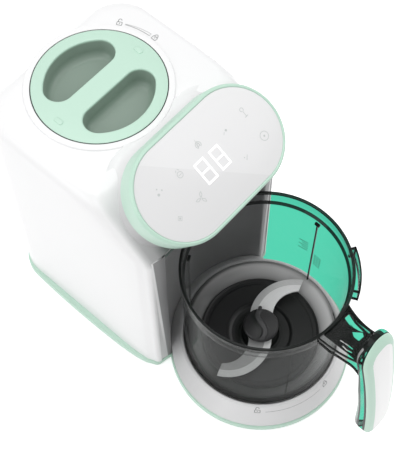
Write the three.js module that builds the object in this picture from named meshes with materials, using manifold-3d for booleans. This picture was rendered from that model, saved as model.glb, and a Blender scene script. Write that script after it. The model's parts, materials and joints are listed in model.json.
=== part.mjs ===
// Baby food processor: a steaming tower with a water tank and a tilted touch panel,
// and a clear blending bowl that stands on a round deck in front of it.
// Millimetres, +Z up. While it is built, the bowl's axis is at x = y = 0, the feet stand on z = 0,
// the tower is towards +Y and the handle towards -Y. At the end the group is moved so that its
// origin is in the middle of the footprint.
import * as THREE from 'three';
import { mergeVertices } from 'three/addons/utils/BufferGeometryUtils.js';
import Module from 'manifold-3d';

const wasm = await Module();
wasm.setup();

// Fits that all pieces share
const gap = 0.3; // between faces that touch
const running = 0.5; // round what turns
const overrun = 1; // how far a cut runs past the face it opens
const shellWall = 2.5; // moulded housings
const largeSteps = 40; // sides of a large circle
const smallSteps = 16; // sides of a small circle

// Feet and tray
const footHeight = 2;
const footRadius = 8;
const trayRim = 0.4; // over the belt
const trayFloor = 2;
const ventWidth = 3;
const ventLength = 36;
const ventPitch = 8;
const ventCount = 7;
const screwRadius = 1.6;
const screwHeadRadius = 3.2;
const screwHeadHeight = 2;
const screwLength = 16;
const footInsets = { backX: 24, back: 18, sideX: 14, side: 23, front: 18 };
const screwInset = 49; // of the front screws, behind the tower's front
const screwPitch = 86;

// Tower
const boilerBackRoom = 19; // from the boiler to the tower's back
const facetHeight = 42; // from where the front begins to lean back to the top
const facetLift = 2; // of that place above the recess
const recessDepth = 27.5; // from the tower's front strips to the back of the recess
const stripRound = 0.1762; // by which the recess's corners are taken off
const stripSlant = 2.8; // how far a strip leans back towards its outer edge
const sideBow = 4.9; // how far the sides draw in towards the front
const bowLength = 38;
const frontCorner = 4;
const backCorner = 30;
const sideDraft = 0.3;
const backDraft = 2.5;
const topRoundHeight = 9;
const topRoundSide = 7;
const topRoundBack = 12;
const facetAngle = THREE.MathUtils.degToRad(41.4);
const postRadius = 5;
const postSink = 1.5; // how far a post is sunk into the wall
const postHeight = 24;

// Recess round the bowl
const turningRoom = 4.7; // from the bowl's bracket to the recess
const recessInset = 1.5; // from the tray's edge to the recess
const liftRoom = 39.3; // above the bowl
const coverWall = 2.5;

// Deck
const deckWall = 2.2;
const deckFootInset = 1.4; // from the recess wall to the deck's outer edge
const deckEdgeHeight = 2;
const deckLipWidth = 2.2;
const deckRise = 10.6; // of the deck's top over the floor of the well
const pitRadius = 21;
const bearingRoom = 4.1; // from the belt to the floor of the pit

// Bowl jar
const jarRadius = 66.4;
const jarWall = 2.4;
const jarFloorThickness = 2;
const jarFloorInset = 14.4; // from the jar's outside to its floor's edge
const shoulderRise = 8; // over the jar's floor
const wellClearance = 0.8;
const jarDepth = 131.7;
const jarCollarHeight = 14.5;
const jarCollarStep = 2.4;
const jarFloorLedge = 6; // that carries the dark floor
const ribDepth = 1.6;
const ribWidth = 2;
const ribLift = 3; // over the shoulder
const ribTopInset = 24.7; // below the rim
const ribAngles = [-70, 20, 128].map(THREE.MathUtils.degToRad);
const lugReach = 5;
const lugHeight = 14;
const lugDrop = 5; // below the rim
const lugWall = 1.8;
const lugAngle = THREE.MathUtils.degToRad(-47);
const lugHalfAngle = THREE.MathUtils.degToRad(15);
const gasketHeight = 2;
const gasketWidth = 4;

// Bowl floor with its bearing
const floorPlate = 2;
const floorGroove = 0.7;
const floorGrooveWidth = 2;
const floorGrooveCount = 3;
const bossRadius = 10;
const bushRadius = 6;
const spindleRadius = 3;

// Dog clutch
const dogRadius = 13;
const dogInner = 6.5;
const dogDisc = 3;
const dogHeight = 4.5;
const dogHalfAngle = THREE.MathUtils.degToRad(17);
const dogClearance = 0.6;
const dogLift = 1.8; // over the floor of the pit
const driveShaftRadius = 3.5;
const driveBearingRadius = 8;

// Blade unit
const hubRadius = 12;
const hubCore = 7;
const hubFlange = 4.5;
const bladeThickness = 1.8;
const spacerHeight = 4;
const capRadius = 15.4;
const capEdge = 2.6;
const capCrown = 3;
const capBore = 1.5; // how far the core reaches into the cap
const ridgeWidth = 4;
const ridgeHeight = 1.4;
const ridgeSwing = 3.2;
const nubRadius = 1.6;
const bladeRoom = 6; // from the blade's tip to the jar's wall
// Centre and radius of the blade's two edges, as shares of its reach
const outerArcShares = [0.4068966, -0.3086207, 0.6672414];
const innerArcShares = [0.5051724, -0.3310345, 0.4];
const bladeHeelShare = 0.8103448; // reach of the tip's inner corner
const bladeSteps = 10;

// Handle
const armDrop = 2.7; // of the arm's top below the rim
const armSag = 6; // of the arm's top between its ends
const armDepth = 15;
const armHalfWidth = 19;
const armWaist = 14.5;
const armEndHalfWidth = 16.5;
const armWall = 2;
const gripRise = 20; // above the arm
const gripBottom = 31;
const armReach = 39.7; // from the rim to the grip's outer face
const gripSpread = 22; // how far the grip leans out on its way down
const gripBow = 4;
const gripTopArch = 17;
const gripBottomArch = 14;
const gripEndFlat = 0.3; // share of the width left flat at both ends
const gripDepth = 15.5;
const gripFrameDepth = 5.6;
const gripTopHalfWidth = 18;
const gripBottomHalfWidth = 15;
const gripCoverInset = 5;
const gripCoverDepth = 2.6;
const gripLevels = 14;
const gripSides = 16;
const heelInset = 1.5; // of the arm's rounded underside from the grip's outer face
const heelDrop = 13;
const heelLength = 11; // from the end of the arm's level underside to the heel
const bossInnerShare = 0.45;
const bossOuter = 4.5;
const tongueHalf = 7;
const tongueThickness = 2;
const tongueRise = 2; // above the arm's underside

// Control head, measured in the panel's own plane: x along it, y up it, z out of it
const panelTilt = THREE.MathUtils.degToRad(31.4);
const panelSetback = 7.2; // of the panel's middle behind the tower's front
const panelRise = 51.7; // above the place where the front begins to lean back
const panelHalfStraight = 29;
const glassRadius = 37;
const glassThickness = 2.4;
const glassSink = 0.4;
const bezelFace = 3.4;
const bezelDepth = 21.5;
const bezelRound = 1.2;
const bezelLedge = 3;
const neckInset = 0.6;
const neckFlareDepth = 14;
const neckFlareSide = 3;
const neckFlareRound = 1;
const neckFlareShift = 7;
const neckBuried = 26;
const neckSteps = 6;
const boardThickness = 1.6;
const boardDrop = 11;
const boardInset = 5;
const headPocket = 8;
const boardPost = 3;
const displayLength = 34;
const displayWidth = 22;
const panelSteps = 12;

// Water tank and its lid
const lidSetback = 54.4; // from the panel's middle to the ring round the lid
const lidBackRoom = 7.3; // from the lid to the tower's back
const lidRadius = 52.3;
const lidRise = 1.2; // of lid and collar above the tower's top
const lidThickness = 4.2;
const collarWidth = 5.2;
const collarLedge = 5.2;
const collarLedgeThickness = 3;
const sealHeight = 2.7;
const sealWidth = 3.4;
const fingerInset = 9.7; // of a recess from the lid's edge
const barHalfWidth = 9;
const fingerCorner = 12;
const fingerDepth = 16;
const fingerWall = 1.8;
const markSize = 7;
const markHeight = 0.6;
const markInset = 5.1; // from the lid's edge
const tankInset = 4.3; // of the tank's wall from the lid's edge
const tankWall = 2;
const tankRim = 2.5;
const tankBottom = 112;
const spoutRadius = 4.5;
const spoutBore = 2.2;
const spoutLength = 8;

// Steam side
const boilerRoom = 5; // between the motor's bracket and the boiler
const boilerRadius = 27;
const boilerLeg = 14;
const boilerPlateThickness = 6;
const boilerCupHeight = 36;
const boilerWall = 1.5;
const boilerCapHeight = 5;
const boilerCapCrown = 4;
const nippleRadius = 4;
const nippleHeight = 6;
const legRadius = 3;
const thermostatRadius = 8;
const thermostatHeight = 7;
const pipeRadius = 3;
const pipeSteps = 22;
const pipeSides = 8;
const pipeInset = 18; // from the tower's side
const nozzleRadius = 6;
const nozzleFlange = 10;
const nozzleFlangeThickness = 2;
const nozzleDrop = 9;
const nozzleRise = 5;
const nozzleBore = 2.5;

// Motor and belt
const motorRoom = 3; // between the recess and the motor's bracket
const motorRadius = 29;
const motorHeight = 66;
const motorWall = 2;
const bracketHeight = 12;
const bracketThickness = 2;
const bracketOverhang = 5;
const motorShaftRadius = 2.5;
const rotorRadius = 21;
const rotorEnd = 12;
const motorPulleyRadius = 9;
const drivePulleyRadius = 30;
const beltWidth = 4;
const beltThickness = 1.2;
const beltFloorGap = 0.6;

// Electrical pieces
const boardLength = 84;
const boardHeight = 62;
const boardInsetX = 22; // from the tower's side
const boardSetback = 45; // behind the tower's front
const blockDepth = 12;
const blockShares = [[0.12, 0.12, 0.24, 0.5], [0.46, 0.12, 0.2, 0.34], [0.74, 0.12, 0.16, 0.7]];
const inletInset = 36; // from the tower's side
const inletZ = 28;
const inletHalfStraight = 4.5;
const inletRadius = 6;
const inletWall = 2;
const inletDepth = 15;
const inletFlange = 3;
const pinRadius = 1.2;
const pinLength = 9;
const switchLength = 20;
const switchWidth = 7;
const switchAngle = THREE.MathUtils.degToRad(-110);
const switchShift = 4.6; // towards the pulley, from the middle of the room beside it

// Heights and places that follow from the sizes above
const trayBottom = footHeight + gap;
const trayFloorTop = trayBottom + trayFloor;
const beltBottom = trayFloorTop + beltFloorGap;
const beltTop = beltBottom + beltWidth;
const trayTop = beltTop + trayRim;
const shellBottom = trayTop + gap;
const pitFloorHeight = beltTop + bearingRoom;
const driveDogBottom = pitFloorHeight + dogLift;
const driveTeethTop = driveDogBottom + dogDisc + dogHeight;
const drivenDogTop = driveTeethTop + dogClearance + dogDisc;
const drivenTeethBottom = drivenDogTop - dogDisc - dogHeight;
const floorUnderside = drivenDogTop + running + gap;
const jarBottom = floorUnderside + gap;
const jarFloorTop = jarBottom + jarFloorThickness;
const wellFloorHeight = jarBottom - 2 * gap - gasketHeight;
const deckTop = wellFloorHeight + deckRise;
const jarShoulderHeight = jarFloorTop + shoulderRise;
const ribBottom = jarShoulderHeight + ribLift;
const jarTop = jarFloorTop + jarDepth;
const jarRim = jarRadius + jarCollarStep;
const recessRadius = jarRim + lugReach + turningRoom;
const towerFront = recessRadius - recessDepth;
const trayRadius = recessRadius + recessInset;
const towerHalfWidth = trayRadius;
const recessTop = jarTop + liftRoom;
const facetStart = recessTop + facetLift;
const towerHeight = facetStart + facetHeight;
const stripInner = Math.sqrt(recessRadius ** 2 - towerFront ** 2) - stripRound;
const jarFloorRadius = jarRadius - jarFloorInset;
const jarMouth = jarFloorRadius - jarFloorLedge;
const ribLength = jarTop - ribTopInset - ribBottom;
const bladeReach = jarRadius - jarWall - bladeRoom;
const bladeHeel = bladeReach * bladeHeelShare;
const armTop = jarTop - armDrop;
const armSaddle = armTop - armSag;
const armBottom = armTop - armDepth;
const gripTop = armTop + gripRise;
const gripTopReach = jarRim + armReach;
const gripBottomReach = gripTopReach + gripSpread;
const gripHeel = { reach: gripTopReach - heelInset, z: armBottom - heelDrop };
const armStraight = gripHeel.reach - heelLength;
const motorY = recessRadius + coverWall + motorRoom + bracketOverhang + motorRadius;
const boilerY = motorY + motorRadius + bracketOverhang + boilerRoom + boilerRadius;
const collarRadius = lidRadius + gap + collarWidth;
const panelCentreY = towerFront + panelSetback;
const lidCentreY = panelCentreY + lidSetback + collarRadius;
const towerBack = Math.max(boilerY + boilerRadius + boilerBackRoom, lidCentreY + lidRadius + lidBackRoom);
const tankRadius = lidRadius - tankInset;
const fingerRadius = lidRadius - fingerInset;
const markReach = lidRadius - markInset;
const panelCentreZ = facetStart + panelRise;
const nozzleY = recessRadius - running - nozzleFlange;
const boardX = towerHalfWidth - boardInsetX;
const boardY = towerFront + boardSetback;
const inletX = towerHalfWidth - inletInset;
const pipeSideway = towerHalfWidth - pipeInset;
const coverRadius = recessRadius + coverWall;
const coverTop = recessTop + coverWall;
const wellRadius = jarRadius + wellClearance;
const switchReach = (wellRadius + drivePulleyRadius) / 2 - switchShift;
const jarInner = jarRadius - jarWall;
const jarStep = jarTop - jarCollarHeight;
const floorTop = jarFloorTop + gap + floorPlate;
const hubBottom = floorTop + running;
const lowerBladeZ = hubBottom + hubFlange + gap;
const spacerZ = lowerBladeZ + bladeThickness + gap;
const upperBladeZ = spacerZ + spacerHeight + gap;
const capZ = upperBladeZ + bladeThickness + gap;
const lidTop = towerHeight + lidRise;
const lidUnderside = lidTop - lidThickness;
const ledgeTop = lidUnderside - sealHeight - gap - gap;
const ledgeInner = lidRadius - collarLedge;
const ledgeBottom = ledgeTop - collarLedgeThickness;
const tankTop = ledgeBottom - gap;
const boilerPlateZ = trayFloorTop + gap + boilerLeg;
const boilerCupZ = boilerPlateZ + boilerPlateThickness + gap;
const boilerCapZ = boilerCupZ + boilerCupHeight + gap;
const boilerCapTop = boilerCapZ + boilerCapHeight + boilerCapCrown;
const motorZ = trayFloorTop + gap + bracketHeight + bracketThickness + gap;
const bezelRadius = glassRadius + bezelFace;

// Finishes
const finish = (color, roughness, metalness = 0) => (
  new THREE.MeshStandardMaterial({ color, roughness, metalness })
);
const white = finish(0xf4f5f5, 0.35);
const paleGrey = finish(0xe3e5e6, 0.4);
const mint = finish(0xcdf0de, 0.35);
const smoke = finish(0x53605c, 0.12);
const dark = finish(0x2a2b2c, 0.45);
const steel = finish(0xb4b8b8, 0.28, 1);
const metal = finish(0x8e9294, 0.4, 1);
const brass = finish(0xb89455, 0.35, 1);
const rubber = finish(0x3a3c3d, 0.85);
const silicone = finish(0xdfe3e2, 0.7);
const board = finish(0x2e5d43, 0.6);
const glass = finish(0xeeeff0, 0.12);

// A closed geometry as a solid that can be joined and cut
function solid(geometry) {
  const bare = new THREE.BufferGeometry();
  bare.setAttribute('position', geometry.getAttribute('position').clone());
  bare.setIndex(geometry.getIndex() ? geometry.getIndex().clone() : null);
  const merged = mergeVertices(bare, 1e-4);
  const source = merged.getIndex().array;
  const corners = [];
  for (let i = 0; i < source.length; i += 3) {
    const [a, b, c] = [source[i], source[i + 1], source[i + 2]];
    if (a !== b && b !== c && c !== a) corners.push(a, b, c);
  }
  return new wasm.Manifold(new wasm.Mesh({
    numProp: 3,
    vertProperties: new Float32Array(merged.getAttribute('position').array),
    triVerts: new Uint32Array(corners),
  }));
}

const join = (first, ...others) => others.reduce((body, other) => body.add(other), first);
const cut = (first, ...others) => others.reduce((body, other) => body.subtract(other), first);

function geometryOf(body) {
  const mesh = body.getMesh();
  const geometry = new THREE.BufferGeometry();
  geometry.setAttribute('position', new THREE.BufferAttribute(new Float32Array(mesh.vertProperties), 3));
  geometry.setIndex(new THREE.BufferAttribute(new Uint32Array(mesh.triVerts), 1));
  geometry.computeVertexNormals();
  return geometry;
}

function piece(parent, name, body, material) {
  const mesh = new THREE.Mesh(geometryOf(body), material);
  mesh.name = name;
  parent.add(mesh);
  return mesh;
}

// Profiles are [radius, height] pairs, turned about a vertical axis at (x, y)
function turned(profile, steps = largeSteps, x = 0, y = 0) {
  const points = profile.map(([r, z]) => new THREE.Vector2(r, z));
  const geometry = new THREE.LatheGeometry(points, steps);
  geometry.rotateX(Math.PI / 2);
  geometry.translate(x, y, 0);
  return solid(geometry);
}

const disc = (radius, bottom, top, steps = largeSteps, x = 0, y = 0) => (
  turned([[0, bottom], [radius, bottom], [radius, top], [0, top]], steps, x, y)
);

const ring = (inner, outer, bottom, top, steps = largeSteps, x = 0, y = 0) => turned(
  [[inner, bottom], [outer, bottom], [outer, top], [inner, top], [inner, bottom]],
  steps,
  x,
  y,
);

// A flat outline raised from one height to another
function raised(shape, bottom, top, steps = panelSteps) {
  const geometry = new THREE.ExtrudeGeometry(shape, {
    depth: top - bottom,
    bevelEnabled: false,
    curveSegments: steps,
  });
  geometry.translate(0, 0, bottom);
  return solid(geometry);
}

function block(x0, x1, y0, y1, z0, z1) {
  const geometry = new THREE.BoxGeometry(x1 - x0, y1 - y0, z1 - z0);
  geometry.translate((x0 + x1) / 2, (y0 + y1) / 2, (z0 + z1) / 2);
  return solid(geometry);
}

// A skin over outlines stacked along z; each level is { z, outline } with as many points as the next
function loft(levels, matrix = null) {
  const count = levels[0].outline.length;
  const positions = [];
  const corners = [];
  levels.forEach(({ z, outline }) => outline.forEach((p) => positions.push(p.x, p.y, z)));
  for (let level = 0; level + 1 < levels.length; level += 1) {
    for (let i = 0; i < count; i += 1) {
      const a = level * count + i;
      const b = level * count + ((i + 1) % count);
      corners.push(a, b, b + count, a, b + count, a + count);
    }
  }
  const last = (levels.length - 1) * count;
  THREE.ShapeUtils.triangulateShape(levels[0].outline, [])
    .forEach(([a, b, c]) => corners.push(a, c, b));
  THREE.ShapeUtils.triangulateShape(levels[levels.length - 1].outline, [])
    .forEach(([a, b, c]) => corners.push(last + a, last + b, last + c));
  const geometry = new THREE.BufferGeometry();
  geometry.setAttribute('position', new THREE.Float32BufferAttribute(positions, 3));
  geometry.setIndex(corners);
  if (matrix) geometry.applyMatrix4(matrix);
  return solid(geometry);
}

const at = (angle, radius, x = 0, y = 0) => (
  new THREE.Vector2(x + radius * Math.cos(angle), y + radius * Math.sin(angle))
);

// Points of an arc from one angle to another, both ends included
function arc(x, y, radius, from, to, steps) {
  return Array.from({ length: steps + 1 }, (_, i) => at(from + ((to - from) * i) / steps, radius, x, y));
}

function bend(from, control, to, steps) {
  return new THREE.QuadraticBezierCurve(from, control, to).getPoints(steps);
}

// Plan of the tower, counter-clockwise from the right end of the front face
function towerOutline(front, inset, sideCut, backCut) {
  const side = towerHalfWidth - inset - sideCut;
  const back = towerBack - inset - backCut;
  const edge = new THREE.Vector2(side - sideBow, front + stripSlant);
  const inner = Math.min(stripInner, edge.x - 1.4 * frontCorner);
  const right = [
    new THREE.Vector2(inner, front),
    ...bend(
      new THREE.Vector2(edge.x - frontCorner, edge.y - (stripSlant * frontCorner) / (edge.x - inner)),
      edge,
      new THREE.Vector2(edge.x + (sideBow * frontCorner) / bowLength, edge.y + frontCorner),
      3,
    ),
    ...bend(
      new THREE.Vector2(side - sideBow / 2.4, front + bowLength / 3),
      new THREE.Vector2(side, front + bowLength / 1.6),
      new THREE.Vector2(side, front + bowLength * 1.2),
      3,
    ),
    ...arc(side - backCorner, back - backCorner, backCorner, 0, Math.PI / 2, 6),
  ];
  const left = right.map((p) => new THREE.Vector2(-p.x, p.y)).reverse();
  return [...right, ...left];
}

// The tower as a whole, or its inside where inset is the wall
function towerForm(inset, bottom) {
  const top = towerHeight - inset;
  const frontAt = (z) => Math.max(
    towerFront + inset,
    towerFront + inset / Math.sin(facetAngle) + (z - facetStart) / Math.tan(facetAngle),
  );
  const kink = facetStart - inset * Math.tan(facetAngle) * (1 / Math.sin(facetAngle) - 1);
  const levels = [bottom, kink].map((z) => ({
    z,
    outline: towerOutline(frontAt(z), inset, 0, (backDraft * z) / towerHeight),
  }));
  const steps = 5;
  for (let i = 0; i <= steps; i += 1) {
    const turn = ((Math.PI / 2) * i) / steps;
    const z = top - topRoundHeight * (1 - Math.sin(turn));
    const drawIn = 1 - Math.cos(turn);
    levels.push({
      z,
      outline: towerOutline(
        frontAt(z),
        inset,
        sideDraft + topRoundSide * drawIn,
        backDraft + topRoundBack * drawIn,
      ),
    });
  }
  return loft(levels);
}

// A long outline with round ends
function stadium(halfStraight, radius, centreY = 0, steps = panelSteps) {
  return [
    ...arc(halfStraight, centreY, radius, -Math.PI / 2, Math.PI / 2, steps),
    ...arc(-halfStraight, centreY, radius, Math.PI / 2, (3 * Math.PI) / 2, steps),
  ];
}

const slab = (outline, bottom, top, matrix = null) => (
  loft([{ z: bottom, outline }, { z: top, outline }], matrix)
);

const screwX = towerHalfWidth - shellWall - postRadius + postSink;
const screwPlaces = [towerFront + screwInset, towerFront + screwInset + screwPitch]
  .flatMap((y) => [[-screwX, y], [screwX, y]]);
const footPlaces = [
  [footInsets.backX - trayRadius, towerBack - footInsets.back],
  [trayRadius - footInsets.backX, towerBack - footInsets.back],
  [footInsets.sideX - trayRadius, towerFront + footInsets.side],
  [trayRadius - footInsets.sideX, towerFront + footInsets.side],
  [0, footInsets.front - trayRadius],
];
const legAngles = [0.25, 0.585, 0.915].map((share) => share * 2 * Math.PI);

// Feet, tray and the screws that hold the tower to it
function makeTray(root) {
  footPlaces.forEach(([x, y], i) => piece(root, `rubber_foot_${i + 1}`, turned(
    [[0, 0], [footRadius - footHeight / 2, 0], [footRadius, footHeight / 2], [footRadius, footHeight], [0, footHeight]],
    smallSteps,
    x,
    y,
  ), rubber));

  const plan = towerOutline(towerFront, 0, 0, 0);
  const innerPlan = towerOutline(towerFront + shellWall, shellWall, 0, 0);
  const outer = join(disc(trayRadius, trayBottom, trayTop, 56), slab(plan, trayBottom, trayTop));
  const inner = join(
    disc(trayRadius - shellWall, trayFloorTop, trayTop + overrun, 56),
    slab(innerPlan, trayFloorTop, trayTop + overrun),
  );
  const holes = screwPlaces.map(([x, y]) => (
    disc(screwRadius + gap, trayBottom - overrun, trayFloorTop + overrun, 8, x, y)
  ));
  const vents = Array.from({ length: ventCount }, (_, i) => {
    const y = motorY + (i - (ventCount - 1) / 2) * ventPitch - ventWidth / 2;
    return block(-ventLength / 2, ventLength / 2, y, y + ventWidth, trayBottom - overrun, trayFloorTop + overrun);
  });
  piece(root, 'chassis_tray', cut(outer, inner, ...holes, ...vents), mint);

  screwPlaces.forEach(([x, y], i) => piece(root, `tray_screw_${i + 1}`, turned([
    [0, footHeight - screwHeadHeight + gap],
    [screwHeadRadius, footHeight - screwHeadHeight + gap],
    [screwHeadRadius, footHeight],
    [screwRadius, footHeight],
    [screwRadius, footHeight + screwLength],
    [0, footHeight + screwLength],
  ], 8, x, y), metal));
}

// Tower shell: open below, open in front for the recess cover, with a hole for the tank's collar
function makeHousing(root) {
  const outer = towerForm(0, shellBottom);
  const inner = towerForm(shellWall, shellBottom - overrun);
  const front = block(
    -(towerHalfWidth - sideBow - frontCorner),
    towerHalfWidth - sideBow - frontCorner,
    towerFront - overrun,
    towerFront + stripSlant + coverWall + gap,
    shellBottom - overrun,
    coverTop + gap,
  );
  const bay = disc(coverRadius + gap, shellBottom - overrun, coverTop + gap, 56);
  const mouth = disc(collarRadius + gap, ledgeBottom - gap, lidTop + overrun, 48, 0, lidCentreY);
  const inlet = placedInlet(inletRadius + inletWall + gap, overrun, -inletDepth);
  const posts = screwPlaces.map(([x, y]) => cut(
    disc(postRadius, shellBottom, shellBottom + postHeight, smallSteps, x, y),
    disc(screwRadius + gap, shellBottom - overrun, footHeight + screwLength + overrun, 8, x, y),
  ));
  const shell = cut(outer, inner, front, bay, mouth, inlet);
  piece(root, 'tower_housing', join(shell, ...posts), white);
}

// The concave cover round the bowl, its two front strips and its roof
function makeFrontCover(root) {
  const strip = new THREE.Vector2(
    towerHalfWidth - sideBow - frontCorner - gap,
    towerFront + stripSlant,
  );
  const inner = Math.asin(towerFront / recessRadius);
  const outer = Math.asin((towerFront + coverWall) / coverRadius);
  const shape = new THREE.Shape();
  shape.moveTo(strip.x, strip.y);
  shape.lineTo(strip.x, strip.y + coverWall);
  shape.absarc(0, 0, coverRadius, outer, Math.PI - outer, false);
  shape.lineTo(-strip.x, strip.y + coverWall);
  shape.lineTo(-strip.x, strip.y);
  shape.absarc(0, 0, recessRadius, Math.PI - inner, inner, true);
  shape.closePath();
  const wall = raised(shape, shellBottom, coverTop, 14);
  const roof = cut(
    disc(coverRadius - gap, recessTop, coverTop, 56),
    block(-trayRadius - overrun, trayRadius + overrun, -trayRadius - overrun, towerFront, recessTop - overrun, coverTop + overrun),
    disc(nozzleRadius + gap, recessTop - overrun, coverTop + overrun, smallSteps, 0, nozzleY),
  );
  piece(root, 'front_cover', join(wall, roof), paleGrey);
}

// Sloping deck with the well that the bowl stands in and the pit for the clutch
function makeDeck(root) {
  const foot = trayRadius - shellWall / 2;
  const lip = wellRadius + deckLipWidth;
  const w = deckWall;
  const profile = [
    [driveBearingRadius + gap, pitFloorHeight - w],
    [pitRadius + w, pitFloorHeight - w],
    [pitRadius + w, wellFloorHeight - w],
    [wellRadius + w, wellFloorHeight - w],
    [lip - w / 2, deckTop - 1.6 * w],
    [foot - 1.4 * w, shellBottom + deckEdgeHeight],
    [foot - 1.4 * w, shellBottom],
    [foot, shellBottom],
    [foot - w / 4, shellBottom + deckEdgeHeight],
    [lip + w / 2, deckTop - w / 2],
    [lip - w / 4, deckTop],
    [wellRadius + w / 4, deckTop],
    [wellRadius, deckTop - w / 3],
    [wellRadius, wellFloorHeight],
    [pitRadius, wellFloorHeight],
    [pitRadius, pitFloorHeight],
    [driveBearingRadius + gap, pitFloorHeight],
    [driveBearingRadius + gap, pitFloorHeight - w],
  ];
  const behind = cut(
    block(-trayRadius, trayRadius, towerFront - gap, trayRadius + overrun, shellBottom - overrun, deckTop + overrun),
    disc(recessRadius - deckFootInset, shellBottom - overrun - overrun, deckTop + overrun + overrun, 56),
  );
  piece(root, 'base_deck', cut(turned(profile, 56), behind), white);
}

// The head's own frame, from panel coordinates to the model
const panelMatrix = new THREE.Matrix4()
  .makeTranslation(0, panelCentreY, panelCentreZ)
  .multiply(new THREE.Matrix4().makeRotationX(panelTilt));

function makeHead(root) {
  const levels = [];
  const top = -bezelDepth - gap;
  for (let i = 0; i <= neckSteps; i += 1) {
    const share = i / neckSteps;
    const flare = 1 - Math.sqrt(1 - share * share);
    levels.unshift({
      z: top - share * neckFlareDepth,
      outline: stadium(
        panelHalfStraight + neckFlareSide * flare,
        bezelRadius - neckInset + neckFlareRound * flare,
        neckFlareShift * flare,
      ),
    });
  }
  levels.unshift({ z: top - neckFlareDepth - neckBuried, outline: levels[0].outline });
  const form = loft(levels, panelMatrix);
  const under = block(
    -trayRadius - overrun,
    trayRadius + overrun,
    0,
    towerBack,
    recessTop / 2,
    coverTop + gap,
  );
  const pocket = slab(
    stadium(panelHalfStraight, bezelRadius - neckInset - shellWall * 2),
    top - headPocket,
    top + overrun,
    panelMatrix,
  );
  const postTop = -boardDrop - boardThickness - gap;
  const posts = [[-1, -1], [1, -1], [1, 1], [-1, 1]].map(([u, v]) => slab(
    arc(u * panelHalfStraight, (v * glassRadius) / 2, boardPost, 0, (2 * Math.PI * 7) / 8, 7),
    top - headPocket - overrun,
    postTop,
    panelMatrix,
  ));
  const lidHole = disc(collarRadius + gap, towerHeight / 2, panelCentreZ + glassRadius, 48, 0, lidCentreY);
  const neck = cut(form, towerForm(-gap, shellBottom), under, pocket, lidHole);
  piece(root, 'head_neck', join(neck, ...posts), white);

  const head = new THREE.Group();
  head.position.set(0, panelCentreY, panelCentreZ);
  head.rotation.x = panelTilt;
  root.add(head);
  const bezel = cut(
    loft([
      { z: -bezelDepth, outline: stadium(panelHalfStraight, bezelRadius) },
      { z: -bezelRound, outline: stadium(panelHalfStraight, bezelRadius) },
      { z: 0, outline: stadium(panelHalfStraight, bezelRadius - bezelRound) },
    ]),
    slab(stadium(panelHalfStraight, glassRadius + gap), -glassSink - glassThickness - gap, overrun),
    slab(stadium(panelHalfStraight, glassRadius - bezelLedge), -bezelDepth - overrun, overrun),
  );
  piece(head, 'panel_bezel', bezel, mint);
  const pane = slab(stadium(panelHalfStraight, glassRadius), -glassSink - glassThickness, -glassSink);
  piece(head, 'panel_glass', pane, glass);
  const sheet = slab(
    stadium(panelHalfStraight, glassRadius - bezelLedge - boardInset + gap),
    -boardDrop - boardThickness,
    -boardDrop,
  );
  piece(head, 'control_board', sheet, board);
  const display = block(
    -displayLength / 2,
    displayLength / 2,
    -displayWidth / 2,
    displayWidth / 2,
    -boardDrop + gap,
    -glassSink - glassThickness - gap,
  );
  piece(head, 'display_module', display, dark);
}

// Outline of one finger recess, grown by an amount
function fingerOutline(grow, side) {
  const radius = fingerRadius + grow;
  const corner = fingerCorner + grow;
  const centreY = barHalfWidth + fingerCorner;
  const centreX = Math.sqrt((radius - corner) ** 2 - centreY ** 2);
  const angle = Math.atan2(centreY, centreX);
  const outline = [
    ...arc(centreX, centreY, corner, -Math.PI / 2, angle, 5),
    ...arc(0, 0, radius, angle, Math.PI - angle, 10).slice(1, -1),
    ...arc(-centreX, centreY, corner, Math.PI - angle, (3 * Math.PI) / 2, 5),
  ];
  return outline.map((p) => new THREE.Vector2(side * p.x, side * p.y));
}

function makeTank(root) {
  const tank = new THREE.Group();
  tank.position.y = lidCentreY;
  root.add(tank);
  const collar = turned([
    [ledgeInner, ledgeBottom],
    [collarRadius, ledgeBottom],
    [collarRadius, lidTop - lidRise / 2],
    [collarRadius - lidRise / 2, lidTop],
    [lidRadius + running, lidTop],
    [lidRadius + running, ledgeTop],
    [ledgeInner, ledgeTop],
    [ledgeInner, ledgeBottom],
  ], 48);
  piece(tank, 'tank_collar', collar, white);

  const w = tankWall;
  const cup = turned([
    [spoutBore, tankBottom - spoutLength],
    [spoutRadius, tankBottom - spoutLength],
    [spoutRadius, tankBottom],
    [tankRadius - 3 * w, tankBottom],
    [tankRadius, tankBottom + 3 * w],
    [tankRadius, tankTop - tankRim],
    [tankRadius + w, tankTop - tankRim],
    [tankRadius + w, tankTop],
    [tankRadius - w, tankTop],
    [tankRadius - w, tankBottom + 4 * w],
    [tankRadius - 4 * w, tankBottom + w],
    [spoutBore, tankBottom + w],
    [spoutBore, tankBottom - spoutLength],
  ], 36);
  piece(tank, 'water_tank', cup, smoke);

  const sealOuter = lidRadius - running;
  piece(tank, 'tank_seal', ring(sealOuter - sealWidth, sealOuter, ledgeTop + gap, lidUnderside - gap, 36), silicone);

  const top = turned([
    [0, lidUnderside],
    [lidRadius, lidUnderside],
    [lidRadius, lidTop - lidRise / 2],
    [lidRadius - lidRise / 2, lidTop],
    [0, lidTop],
  ], 48);
  const tubs = [1, -1].map((side) => slab(fingerOutline(fingerWall, side), lidTop - fingerDepth - fingerWall, lidTop - lidRise));
  const pockets = [1, -1].map((side) => slab(fingerOutline(0, side), lidTop - fingerDepth, lidTop + overrun));
  const marks = [1, -1].map((side) => slab(
    stadium(markSize / 6, markSize / 2, 0, 4).map((p) => p.add(new THREE.Vector2(side * (markReach - markSize / 2), 0))),
    lidTop - overrun,
    lidTop + markHeight,
  ));
  piece(tank, 'tank_lid', cut(join(top, ...tubs, ...marks), ...pockets), mint);
}

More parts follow.
